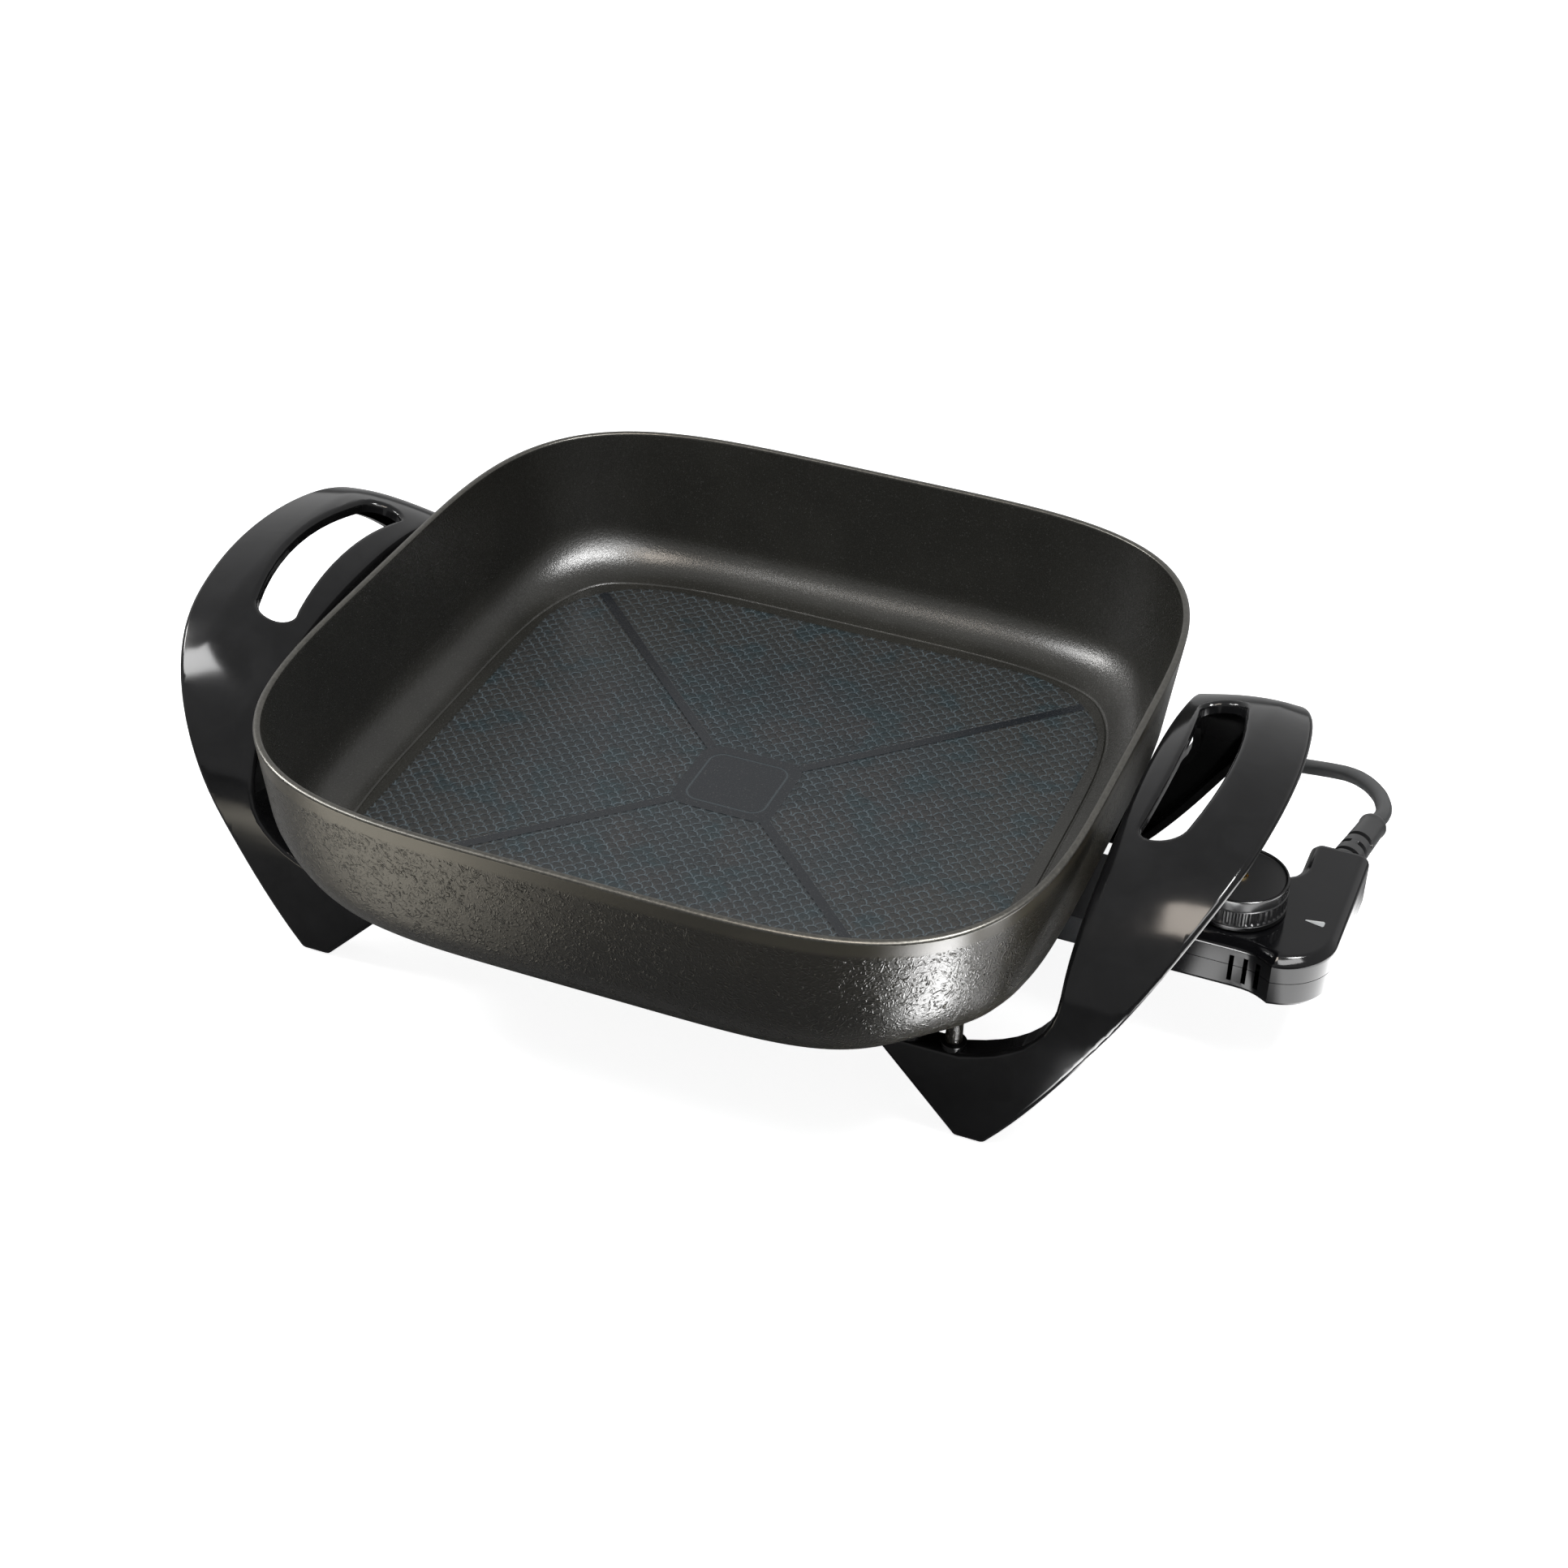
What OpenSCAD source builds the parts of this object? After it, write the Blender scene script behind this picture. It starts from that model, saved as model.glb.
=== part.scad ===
// Square electric skillet: a cast pan between two leg-and-grip mouldings, with a plug-in
// temperature controller. Millimetres, +X to the controller, -Y to the front, +Z up.
// The origin is on the table, under the middle of the box round the skillet and its controller.

/* [Pan] */
// Width and depth of the pan across its rim
pan_w = 350; // [335:5:370]
// Height of the rim above the table
rim_z = 128; // [122:1:140]
// Depth of the cooking well
well_depth = 69; // [62:1:70]
// Corner radius of the rim, seen from above
rim_corner_r = 91; // [84:1:98]
// Thickness of the cast side wall
wall_t = 3.2; // [2.8:0.1:4.5]
// Thickness of the cast floor
floor_t = 6; // [5.5:0.5:7]
// Lean of the side wall away from upright
side_draft = 7; // [5:0.5:9]
// Outer fillet between the side and the underside, 10 more than the inner one
base_fillet = 30; // [26:1:32]

/* [Heating element] */
// Radius of the sheathed heating tube
tube_r = 4; // [3.5:0.25:4.5]
// Half width of the heating loop
loop_half = 95; // [85:1:100]
// Corner radius of the heating loop
loop_corner_r = 30; // [24:1:40]
// Radius of the bend from the loop to each end
lead_bend_r = 15; // [12:1:16]
// Distance from the underside of the pan down to the tube axis
tube_drop = 6.75; // [6.5:0.25:7.5]
// Thickness of the cast ridge on each side of the tube
ridge_t = 3.5; // [3:0.5:5]
// Distance between the two terminal pins
pin_pitch = 26; // [24:1:28]
// Radius of a terminal pin
pin_r = 2.5; // [2:0.1:2.7]
// Length of a terminal pin
pin_len = 28; // [24:1:31]

/* [Terminal guard] */
// Length of the guard along the plug direction
guard_len = 42; // [38:1:44]
// Sheet thickness of the guard
guard_t = 1.6; // [1.2:0.1:2]

/* [Handles] */
// Rise of the grip above the rim
grip_rise = 5.5; // [3:0.5:12]
// Distance from the rim out to the outer edge of the grip
grip_reach = 67; // [60:1:75]
// Gap between the rim and the inner rail of the grip
rail_gap = 8.5; // [6:0.5:11]
// Radius of the top of the arch, seen from the side
arch_top_r = 215; // [190:5:260]
// Half length of the top of the arch
arch_top_half = 50; // [46:1:54]
// Radius of the shoulders of the arch
arch_shoulder_r = 80; // [72:1:84]
// Lean of the legs away from upright
leg_lean = 5; // [3:0.5:7]
// Depth of the channel section of the handle
channel_depth = 12; // [11:0.5:14]
// Thickness of the outer skin of the handle
skin_t = 4.5; // [4:0.5:5.5]
// Thickness of the side flanges of the handle
flange_t = 3.5; // [3:0.5:4]
// Drop of the inner rail below the crown, per unit of width
crown_slope = 0.34; // [0.2:0.02:0.4]
// Width of the rail between the grip slot and the inner edge
rail_w = 7.5; // [7:0.5:10]
// Width of the grip slot at its middle
slot_w = 24.5; // [20:0.5:28]
// Half length of the grip slot
slot_half = 53.5; // [48:0.5:56]
// Width of the flat of each foot
foot_w = 12.5; // [11:0.5:15]

/* [Handle fixings] */
// Radius of the cast posts under the pan
post_r = 3.5; // [3.2:0.1:4]
// Length of the cast posts
post_len = 11; // [8:0.5:12]
// Radius of the handle screw shank
screw_r = 2; // [1.5:0.1:2.2]
// Radius of the handle screw head
screw_head_r = 4; // [3.5:0.1:4.5]
// Height of the handle screw head
screw_head_h = 2.6; // [2:0.1:3]

/* [Controller] */
// Thickness of the controller case
case_h = 24; // [22:0.5:26]
// Width of the stem that runs under the grip
stem_w = 52; // [50:0.5:53]
// Width of the arm that carries the cord
arm_w = 25.5; // [23:0.5:28]
// Distance from the rim out to the outer side of the controller
case_reach = 95.5; // [94:0.5:110]
// Distance from the middle of the stem to the end of the arm
arm_len = 58; // [54:1:66]
// Wall thickness of the case
case_wall = 2.2; // [1.8:0.1:2.4]
// Width of the contact block
block_w = 44; // [42:0.5:45]
// Free length of the probe in front of the contact block
probe_len = 48; // [44:1:50]
// Radius of the probe
probe_r = 2.5; // [2:0.1:2.8]
// Travel of the controller when it is pulled out
pull_travel = 70; // [66:1:80]

/* [Dial] */
// Radius of the dial
dial_r = 20.6; // [18:0.2:22]
// Height of the dial
dial_h = 15; // [12:0.5:18]
// Number of grip ribs round the dial
dial_ribs = 48; // [36:2:60]
// Radius of the dial shaft
shaft_r = 3; // [2.5:0.1:3.5]

/* [Cord and plug] */
// Diameter of the cord
cord_d = 7.2; // [6.8:0.1:7.6]
// Length of the strain relief outside the case
relief_len = 40; // [34:1:46]
// Angle of the strain relief, outwards from straight back
relief_angle = 10; // [6:1:12]
// Radius of the middle turn of the coil
coil_r = 39.6; // [38:0.2:42]
// Radius of the plug face
plug_r = 18.5; // [17.5:0.1:19.5]
// Distance between the plug pins
plug_pitch = 19; // [18.5:0.1:19.5]
// Radius of a plug pin
plug_pin_r = 2.4; // [2.3:0.05:2.45]
// Length of a plug pin
plug_pin_len = 19; // [18:0.5:20]

/* [Hidden] */

// Clearances
fit = 0.05;      // round pieces that slide or turn in each other
slip = 0.3;      // pieces of different bodies that pass each other
past = 1;        // how far a cutter runs past the face that it opens

// Pan
half = pan_w / 2;
corner_c = half - rim_corner_r;
floor_z = rim_z - well_depth;
under_z = floor_z - floor_t;
well_fillet = base_fillet - 10;
pin_z = under_z - tube_drop;

// Terminal group: X of its faces, measured from the middle of the pan
guard_x1 = half - 7;
guard_x0 = guard_x1 - guard_len;
tube_end_x = guard_x0 + 10;
insulator_len = 5;
insulator_r = 3.6;
well_len = 32;
well_w = 14;
guard_ear = 11;
guard_screw_inset = 5.5;
guard_screw_bite = 4.5;

// Handle
grip_z = rim_z + grip_rise;
post_x = [half - 36, half - 54];
post_y = 106.5;
bracket_z = under_z - post_len - 2;
boss_r = 5.5;
collar_h = 2;
boss_h = 10;
arch_y1 = arch_top_half;
arch_a1 = asin(arch_top_half / arch_top_r);
arch_top_c = grip_z - arch_top_r;
shoulder_c = [
    arch_top_half - arch_shoulder_r * sin(arch_a1),
    arch_top_c + (arch_top_r - arch_shoulder_r) * cos(arch_a1)
];

// Controller
case_z0 = pin_z - 7.25;
case_z1 = case_z0 + case_h;
split_z = case_z0 + 12;
case_x0 = guard_x1 + 3;
case_x1 = half + case_reach;
arm_x0 = case_x1 - arm_w;
block_z0 = case_z0 + case_wall;
block_z1 = split_z - 0.2;
block_x0 = guard_x0 + 24;
block_x1 = case_x0 + 15;
sleeve_r = 3.7;
sleeve_x0 = block_x0 + 2;
dial_x = half + 50.5;
dial_z0 = case_z1 + 0.4;
mark_len = 8;
mark_w = 3.5;
mark_h = 0.6;
vent_x = [arm_x0 - 14, arm_x0 - 8, arm_x0 - 2.5];
vent_w = 2;
vent_h = 13;
screw_spots = [
    [case_x0 + 23, stem_w / 2 - 6], [case_x0 + 23, 6 - stem_w / 2],
    [arm_x0 + 17.5, arm_len - 16], [arm_x0 + 13, 18 - stem_w / 2]
];
case_screw_r = 1.4;
case_boss_r = 3.4;
case_head_r = 2.7;
case_head_h = 1.8;

// Thermostat inside the case
frame_t = 1.2;
frame_z = case_z0 + case_wall + 2;
pivot_x = dial_x - 20;
pivot_z = frame_z + 5.4;
pivot_r = 1;
arm_t = 0.8;
arm_half_w = 4;
rivet_r = 1.8;
rivet_x = dial_x + 9;

// Cord: the strain relief, the coil and the plug
cord_r = cord_d / 2;
relief_x = (arm_x0 + case_x1) / 2;
relief_z = case_z0 + 11.5;
relief_neck_r = 6;
coil_at = [20, 228];
coil_lift = 0.8;
coil_layers = 2;
coil_half_w = cord_d * 1.5;
tie_t = 0.8;
tie_w = 8;
tie_gap = 0.5;
plug_at = [-73, 254];
plug_tilt = 21.5;
plug_body_len = 38;
plug_face_t = 8;
plug_tail_r = 7;
clip_t = 1.2;
clip_w = 6;
pin_step = 0.5;

// Route of the cord from the strain relief to the coil, in order, from the middle of the pan,
// for a strain relief that starts at lead_root
lead_route = [
    [264.9, 97.4, 50.5], [266.5, 109, 49], [264, 122, 46], [258.5, 137, 41],
    [251, 151.5, 35], [243, 164.5, 28], [234.5, 176.5, 20], [225, 186, 13],
    [214, 192, 8], [201.5, 195, 4.8], [188.5, 193, 3.8], [176.5, 185.5, 3.8],
    [165, 174.5, 3.8], [152.5, 163.5, 3.8], [138.5, 154.5, 3.8], [122, 149.5, 3.8],
    [106, 150, 3.8], [91.5, 156, 3.8], [79.5, 166.5, 3.8], [72, 180.5, 4],
    [68, 196, 4.4], [66.8, 212, 4.4], [66.4, 227, 4.4]
];
lead_root = [257.75, 58, 50.5];
// Route from the top of the coil to the plug
tail_route = [
    [20, 274.8, 11.6], [6, 274.9, 10.8], [-8, 273.9, 8.6], [-21, 270.6, 6.2],
    [-34, 265.5, 4.6], [-46.5, 259.8, 3.9], [-59.5, 255.6, 4.4], [-73, 254, 6.3]
];
// Wires from the cord to the contact sleeves
live_route = [
    [arm_x0 + 9.5, arm_len - 7.5, split_z + 2],
    [arm_x0 + 7, stem_w / 2 + 12, split_z + 3.5],
    [arm_x0 + 2, stem_w / 2 + 1, split_z + 4.5],
    [arm_x0 - 5, stem_w / 2 - 5, split_z + 5],
    [dial_x - 4, stem_w / 2 - 8, split_z + 5],
    [block_x1 + 19, pin_pitch / 2 + 1, split_z + 1.5],
    [block_x1 + 9, pin_pitch / 2, pin_z],
    [block_x1 + 3, pin_pitch / 2, pin_z]
];
neutral_route = [
    [arm_x0 + 13.5, arm_len - 8.5, split_z + 2],
    [arm_x0 + 9, stem_w / 2 + 6, split_z + 4],
    [arm_x0 + 5, 2, split_z + 5],
    [arm_x0 - 4, 11 - stem_w / 2, split_z + 5],
    [dial_x - 5.5, 7.5 - stem_w / 2, split_z + 4],
    [block_x1 + 20, -pin_pitch / 2 - 2.5, split_z + 0.5],
    [block_x1 + 9, -pin_pitch / 2, pin_z],
    [block_x1 + 3, -pin_pitch / 2, pin_z]
];
wire_r = 1.1;

// ---- curves ----

// Points on an arc about c, from angle a0 to a1
function arc(c, r, a0, a1, n) =
    [for (i = [0 : n]) let (a = a0 + (a1 - a0) * i / n) [c[0] + r * cos(a), c[1] + r * sin(a)]];

// Points on a cubic curve with ends p0 and p3 and handles p1 and p2
function cubic(p0, p1, p2, p3, n) =
    [for (i = [0 : n]) let (t = i / n, u = 1 - t)
        u * u * u * p0 + 3 * u * u * t * p1 + 3 * u * t * t * p2 + t * t * t * p3];

// Left normal of the step from a to b
function left_of(a, b) = let (d = b - a) [-d[1], d[0]] / norm(d);

// A closed anticlockwise outline moved inwards by d
function inset(pts, d) =
    [for (i = [0 : len(pts) - 1])
        let (
            p = pts[i],
            n0 = left_of(pts[(i + len(pts) - 1) % len(pts)], p),
            n1 = left_of(p, pts[(i + 1) % len(pts)])
        )
        p + d * (n0 + n1) / (1 + n0 * n1)];

// Direction of a route at point i
function heading(route, i) =
    let (d = route[min(i + 1, len(route) - 1)] - route[max(i - 1, 0)]) d / norm(d);

// A round tube swept along a route, with one ring at each of its points
module tube(route, r, sides = 8, first = undef) {
    last = len(route) - 1;
    rings = [for (i = [0 : last])
        let (
            d = i == 0 && !is_undef(first) ? first : heading(route, i),
            u = cross([0, 0, 1], d) / norm(cross([0, 0, 1], d)),
            v = cross(d, u)
        )
        for (k = [0 : sides - 1]) let (a = 360 * k / sides) route[i] + r * (cos(a) * u + sin(a) * v)];
    walls = [for (i = [0 : last - 1], k = [0 : sides - 1])
        let (a = i * sides + k, b = i * sides + (k + 1) % sides)
        each [[a, a + sides, b], [b, a + sides, b + sides]]];
    start = [for (k = [0 : sides - 1]) k];
    end = [for (k = [sides - 1 : -1 : 0]) last * sides + k];
    polyhedron(rings, concat([start], walls, [end]));
}

// ---- placing ----

// Moves a piece from the middle of the pan to the origin's place
module in_frame() {
    translate([(grip_reach - case_reach) / 2, 0, 0]) children();
}

// Copies for the front and the rear
module front_and_rear() {
    children();
    mirror([0, 1, 0]) children();
}

// Turns a piece drawn along +Z to lie along +X
module along_x(x, y, z) {
    translate([x, y, z]) rotate([0, 90, 0]) children();
}

// Extrudes an outline in Y and Z along X
module extrude_x(x0, x1) {
    translate([x0, 0, 0]) rotate([90, 0, 90]) linear_extrude(x1 - x0) children();
}

// Extrudes an outline in X and Z along Y
module extrude_y(y0, y1) {
    translate([0, y1, 0]) rotate([90, 0, 0]) linear_extrude(y1 - y0) children();
}

// ---- pan ----

// Radius of the outer wall about a corner's centre at height z
function wall_r(z) = rim_corner_r - (rim_z - z) * tan(side_draft);

// Half section of a bowl whose wall lies t inside the pan's outer wall
function bowl_section(t, base_z, fillet, top_z) =
    let (
        cz = base_z + fillet,
        cr = wall_r(cz) - (t + fillet) / cos(side_draft)
    )
    concat(
        [[0, base_z]],
        arc([cr, cz], fillet, -90, -side_draft, 6),
        [[wall_r(top_z) - t / cos(side_draft), top_z], [0, top_z]]
    );

module bowl(section) {
    hull() for (x = [-corner_c, corner_c], y = [-corner_c, corner_c])
        translate([x, y, 0]) rotate_extrude($fn = 40) polygon(section);
}

// Sweeps a section along the heating loop, from one end to the middle of the far side
module loop_half_sweep() {
    near = pin_pitch / 2;
    bend_x = loop_half + lead_bend_r;
    turn_c = loop_half - loop_corner_r;
    translate([bend_x, near, 0]) rotate([90, 0, 90])
        linear_extrude(tube_end_x - bend_x) children();
    translate([bend_x, near + lead_bend_r, 0]) rotate(180)
        rotate_extrude(angle = 90, $fn = 64) translate([lead_bend_r, 0]) children();
    translate([loop_half, turn_c, 0]) rotate([90, 0, 0])
        linear_extrude(turn_c - near - lead_bend_r) children();
    translate([turn_c, turn_c, 0])
        rotate_extrude(angle = 90, $fn = 64) translate([loop_corner_r, 0]) children();
    translate([-turn_c, loop_half, 0]) rotate([90, 0, 90])
        linear_extrude(2 * turn_c) children();
    translate([-turn_c, turn_c, 0]) rotate(90)
        rotate_extrude(angle = 90, $fn = 64) translate([loop_corner_r, 0]) children();
    translate([-loop_half, turn_c, 0]) rotate([90, 0, 0])
        linear_extrude(turn_c) children();
}

module post_spots() {
    for (sx = [-1, 1], x = post_x, sy = [-1, 1])
        translate([sx * x, sy * post_y, 0]) children();
}

module guard_screw_spots() {
    for (sy = [-1, 1])
        translate([guard_x0 + guard_screw_inset, sy * (guard_half_w() + guard_ear / 2), 0]) children();
}

function guard_half_w() = block_w / 2 + slip + guard_t;

module pan_body() {
    ridge_w = 2 * (tube_r + fit + ridge_t);
    ridge_h = tube_drop + tube_r * 0.6;
    color("dimgray") in_frame() difference() {
        union() {
            bowl(bowl_section(0, under_z, base_fillet, rim_z));
            front_and_rear() translate([0, 0, under_z - ridge_h]) intersection() {
                loop_half_sweep() translate([-ridge_w / 2, 0]) square([ridge_w, ridge_h + past]);
                translate([-half, 0, 0]) cube([half + guard_x0, half, ridge_h + past]);
            }
            translate([guard_x0 - well_len, -well_w / 2, pin_z - probe_r - 2.5])
                cube([well_len, well_w, under_z - pin_z + probe_r + 2.5 + past]);
            post_spots() translate([0, 0, under_z - post_len])
                cylinder(r = post_r, h = post_len + base_fillet / 2, $fn = 48);
        }
        bowl(bowl_section(wall_t, floor_z, well_fillet, rim_z + past));
        front_and_rear() translate([0, 0, pin_z]) loop_half_sweep() {
            circle(r = tube_r + fit, $fn = 48);
            translate([-tube_r - fit, -ridge_h]) square([2 * (tube_r + fit), ridge_h]);
        }
        along_x(guard_x0 - well_len + 4, 0, pin_z) cylinder(r = probe_r + fit, h = well_len, $fn = 48);
        post_spots() translate([0, 0, under_z - post_len - past])
            cylinder(r = screw_r + fit, h = post_len + past, $fn = 48);
        guard_screw_spots() translate([0, 0, under_z - past])
            cylinder(r = screw_r + fit, h = guard_screw_bite + past, $fn = 48);
    }
}

// ---- heating element and its terminals ----

module heating_element() {
    color("silver") in_frame() translate([0, 0, pin_z]) front_and_rear()
        loop_half_sweep() circle(r = tube_r, $fn = 48);
}

module terminal_pins() {
    color("lightgray") in_frame() for (sy = [-1, 1])
        along_x(tube_end_x, sy * pin_pitch / 2, pin_z) cylinder(r = pin_r, h = pin_len, $fn = 48);
}

module terminal_insulators() {
    color("ivory") in_frame() for (sy = [-1, 1])
        along_x(tube_end_x, sy * pin_pitch / 2, pin_z) difference() {
            cylinder(r = insulator_r, h = insulator_len, $fn = 48);
            translate([0, 0, -past]) cylinder(r = pin_r + fit, h = insulator_len + 2 * past, $fn = 48);
        }
}

// Sheet-metal guard round the terminals, open towards the controller
module terminal_guard() {
    in_half = block_w / 2 + slip;
    z0 = block_z0 - slip;
    z1 = under_z - guard_t;
    color("#26272a") in_frame() difference() {
        union() {
            translate([guard_x0, -in_half - guard_t, z0 - guard_t])
                cube([guard_len, 2 * (in_half + guard_t), under_z - z0 + guard_t]);
            translate([guard_x0, -in_half - guard_t - guard_ear, z1])
                cube([2 * guard_screw_inset, 2 * (in_half + guard_t + guard_ear), guard_t]);
        }
        translate([guard_x0 + guard_t, -in_half, z0]) cube([guard_len, 2 * in_half, z1 - z0]);
        for (sy = [-1, 1])
            along_x(guard_x0 - past, sy * pin_pitch / 2, pin_z)
                cylinder(r = tube_r + slip, h = guard_t + 2 * past, $fn = 48);
        along_x(guard_x0 - past, 0, pin_z)
            cylinder(r = probe_r + slip, h = guard_t + 2 * past, $fn = 48);
        guard_screw_spots() translate([0, 0, z1 - past])
            cylinder(r = screw_r + fit, h = guard_t + 2 * past, $fn = 48);
    }
}

module guard_screws() {
    z0 = under_z - guard_t - screw_head_h;
    color("silver") in_frame() guard_screw_spots() union() {
        translate([0, 0, z0]) cylinder(r = screw_head_r, h = screw_head_h, $fn = 48);
        translate([0, 0, z0]) cylinder(r = screw_r, h = screw_head_h + guard_t + guard_screw_bite - 0.5, $fn = 48);
    }
}

// ---- handles ----

// Outline of the arch in Y and Z, d inside its outer curve, down to past the table
function arch_outline(d) =
    let (
        side = concat(
            arc([0, arch_top_c], arch_top_r - d, 90, 90 - arch_a1, 6),
            arc(shoulder_c, arch_shoulder_r - d, 90 - arch_a1, leg_lean, 12)
        ),
        knee = side[len(side) - 1],
        toe = [knee[0] + (knee[1] + 20) * tan(leg_lean), -20],
        right = concat(side, [toe]),
        left = [for (i = [len(right) - 1 : -1 : 1]) [-right[i][0], right[i][1]]]
    )
    concat(left, right);

// Outline of the handle in X and Z, anticlockwise, seen from the front
function handle_outline() =
    concat(
        [[half - 18 - foot_w, 0]],
        cubic([half - 18, 0], [half + 14, 35.5], [half + 39, rim_z - 35.5], [half + grip_reach, grip_z], 10),
        [[half + grip_reach, grip_z + 6], [half + rail_gap, grip_z + 6], [half + rail_gap, grip_z - 16]],
        [[half + 5, rim_z - 33]],
        cubic([half + 5, rim_z - 51], [half + 5, rim_z - 70], [half - 8, bracket_z + 6], [half - 32, bracket_z], 8),
        [[half - 71, bracket_z]]
    );

// The cone that slopes the grip down to its inner rail, d below its surface
module crown_cut(d) {
    x0 = half + rail_gap - 12;
    x1 = half + rail_gap + rail_w + slot_w + 2;
    reach = 40;
    translate([0, 0, arch_top_c]) rotate([0, 90, 0]) rotate(180 - 35)
        rotate_extrude(angle = 70, $fn = 180)
            polygon([
                [arch_top_r - d - crown_slope * (x1 - x0), x0], [arch_top_r - d, x1],
                [arch_top_r + reach, x1], [arch_top_r + reach, x0]
            ]);
}

// Everything of the handle that lies deeper than d under its outer skin, with its sides moved in by s
module handle_mass(d, s) {
    difference() {
        intersection() {
            extrude_x(half - 90, half + 90) polygon(arch_outline(d));
            extrude_y(-150, 150) polygon(inset(handle_outline(), s));
        }
        crown_cut(d);
    }
}

module slot_outline() {
    x0 = half + rail_gap + rail_w;
    x1 = x0 + slot_w;
    belly = 5.7;
    inner_r = 7;
    outer_r = 11;
    polygon(concat(
        arc([x0 + inner_r, -slot_half + inner_r], inner_r, 180, 270, 5),
        arc([x1 - belly - outer_r, -slot_half + outer_r], outer_r, 270, 347, 6),
        [[x1 - 2.8, -30], [x1 - 0.7, -15], [x1, 0], [x1 - 0.7, 15], [x1 - 2.8, 30]],
        arc([x1 - belly - outer_r, slot_half - outer_r], outer_r, 13, 90, 6),
        arc([x0 + inner_r, slot_half - inner_r], inner_r, 90, 180, 5)
    ));
}

module handle() {
    difference() {
        union() {
            difference() {
                handle_mass(0, 0);
                handle_mass(skin_t, flange_t);
                handle_mass(channel_depth, -3);
            }
            front_and_rear() for (x = post_x) translate([x, post_y, bracket_z - boss_h])
                cylinder(r = boss_r, h = boss_h + collar_h, $fn = 48);
        }
        translate([0, 0, grip_z - 40]) linear_extrude(60) slot_outline();
        front_and_rear() for (x = post_x) translate([x, post_y, bracket_z - boss_h - 30])
            cylinder(r = screw_r + slip, h = boss_h + 60, $fn = 48);
        front_and_rear() for (x = post_x) translate([x, post_y, bracket_z - boss_h - 30])
            cylinder(r = screw_head_r + slip, h = 30, $fn = 48);
    }
}

module handle_right() {
    color("#141416") in_frame() handle();
}

module handle_left() {
    color("#141416") in_frame() mirror([1, 0, 0]) handle();
}

module handle_screws() {
    z0 = bracket_z - boss_h - screw_head_h;
    color("silver") in_frame() post_spots() union() {
        translate([0, 0, z0]) cylinder(r = screw_head_r, h = screw_head_h, $fn = 48);
        translate([0, 0, z0])
            cylinder(r = screw_r, h = under_z - past - z0, $fn = 48);
    }
}

// ---- controller case ----

// Plan of the case, anticlockwise
function case_outline() =
    let (
        s = stem_w / 2,
        nose_r = 24,
        end_r = 5
    )
    concat(
        [[case_x0, -s], [arm_x0 - 9, -s], [arm_x0 - 4, -s - 1], [arm_x0, -s - 2.7], [arm_x0 + 3, -s - 5]],
        arc([case_x1 - nose_r, nose_r - s - 5], nose_r, -84, 0, 8),
        arc([case_x1 - end_r, arm_len - end_r], end_r, 0, 90, 4),
        arc([arm_x0 + end_r, arm_len - end_r], end_r, 90, 180, 4),
        arc([arm_x0 - 10, s + 12], 10, 0, -90, 5),
        [[arm_x0 - 17, s], [case_x0, s]]
    );

module case_screw_holes(z, h, r) {
    for (p = screw_spots) translate([p[0], p[1], z]) cylinder(r = r, h = h, $fn = 32);
}

// Places the strain relief's axis, drawn along +Z from the outer face of the arm's end
module relief_axis() {
    translate([relief_x, arm_len, relief_z]) rotate([-90, 0, -relief_angle]) children();
}

module controller_base() {
    color("#18181a") in_frame() difference() {
        union() {
            difference() {
                translate([0, 0, case_z0]) linear_extrude(split_z - case_z0) polygon(case_outline());
                translate([0, 0, case_z0 + case_wall]) linear_extrude(case_h)
                    polygon(inset(case_outline(), case_wall));
            }
            case_screw_holes(case_z0 + case_wall / 2, split_z - case_z0 - case_wall / 2, case_boss_r);
            for (x = [pivot_x - 6, dial_x + 14]) translate([x, -9, case_z0 + case_wall / 2])
                cube([3, 18, frame_z - case_z0 - case_wall / 2]);
        }
        translate([case_x0 - past, -block_w / 2, block_z0])
            cube([case_wall + 2 * past, block_w, case_h]);
        case_screw_holes(case_z0 - past, case_h, case_screw_r + fit);
        case_screw_holes(case_z0 - past, case_head_h + past, case_head_r + slip);
        vents(case_z0, split_z);
        relief_axis() translate([0, 0, -8]) cylinder(r = relief_neck_r + fit, h = 16, $fn = 48);
    }
}

module controller_cover() {
    color("#18181a") in_frame() difference() {
        union() {
            difference() {
                translate([0, 0, split_z]) linear_extrude(case_z1 - split_z) polygon(case_outline());
                translate([0, 0, split_z - past]) linear_extrude(case_z1 - split_z - case_wall + past)
                    polygon(inset(case_outline(), case_wall));
            }
            case_screw_holes(split_z, case_z1 - split_z - case_wall / 2, case_boss_r);
            translate([case_x0 + case_wall / 2, -block_w / 2, block_z1])
                cube([3, block_w, case_z1 - block_z1 - case_wall / 2]);
        }
        case_screw_holes(split_z - past, case_z1 - split_z - case_wall - 1 + past, case_screw_r + fit);
        translate([dial_x, 0, split_z]) cylinder(r = shaft_r + fit, h = case_h, $fn = 48);
        vents(split_z, case_z1);
        relief_axis() translate([0, 0, -8]) cylinder(r = relief_neck_r + fit, h = 16, $fn = 48);
        translate([0, 0, case_z1 - mark_h]) linear_extrude(mark_h + past) mark_outline(fit);
    }
}

// Slots in the front wall of the stem, cut between two heights
module vents(z0, z1) {
    mid = case_z0 + 10.5;
    for (x = vent_x) translate([x - vent_w / 2, -stem_w / 2 - 4, max(z0, mid - vent_h / 2)])
        cube([vent_w, case_wall + 5, min(z1, mid + vent_h / 2) - max(z0, mid - vent_h / 2)]);
}

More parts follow.
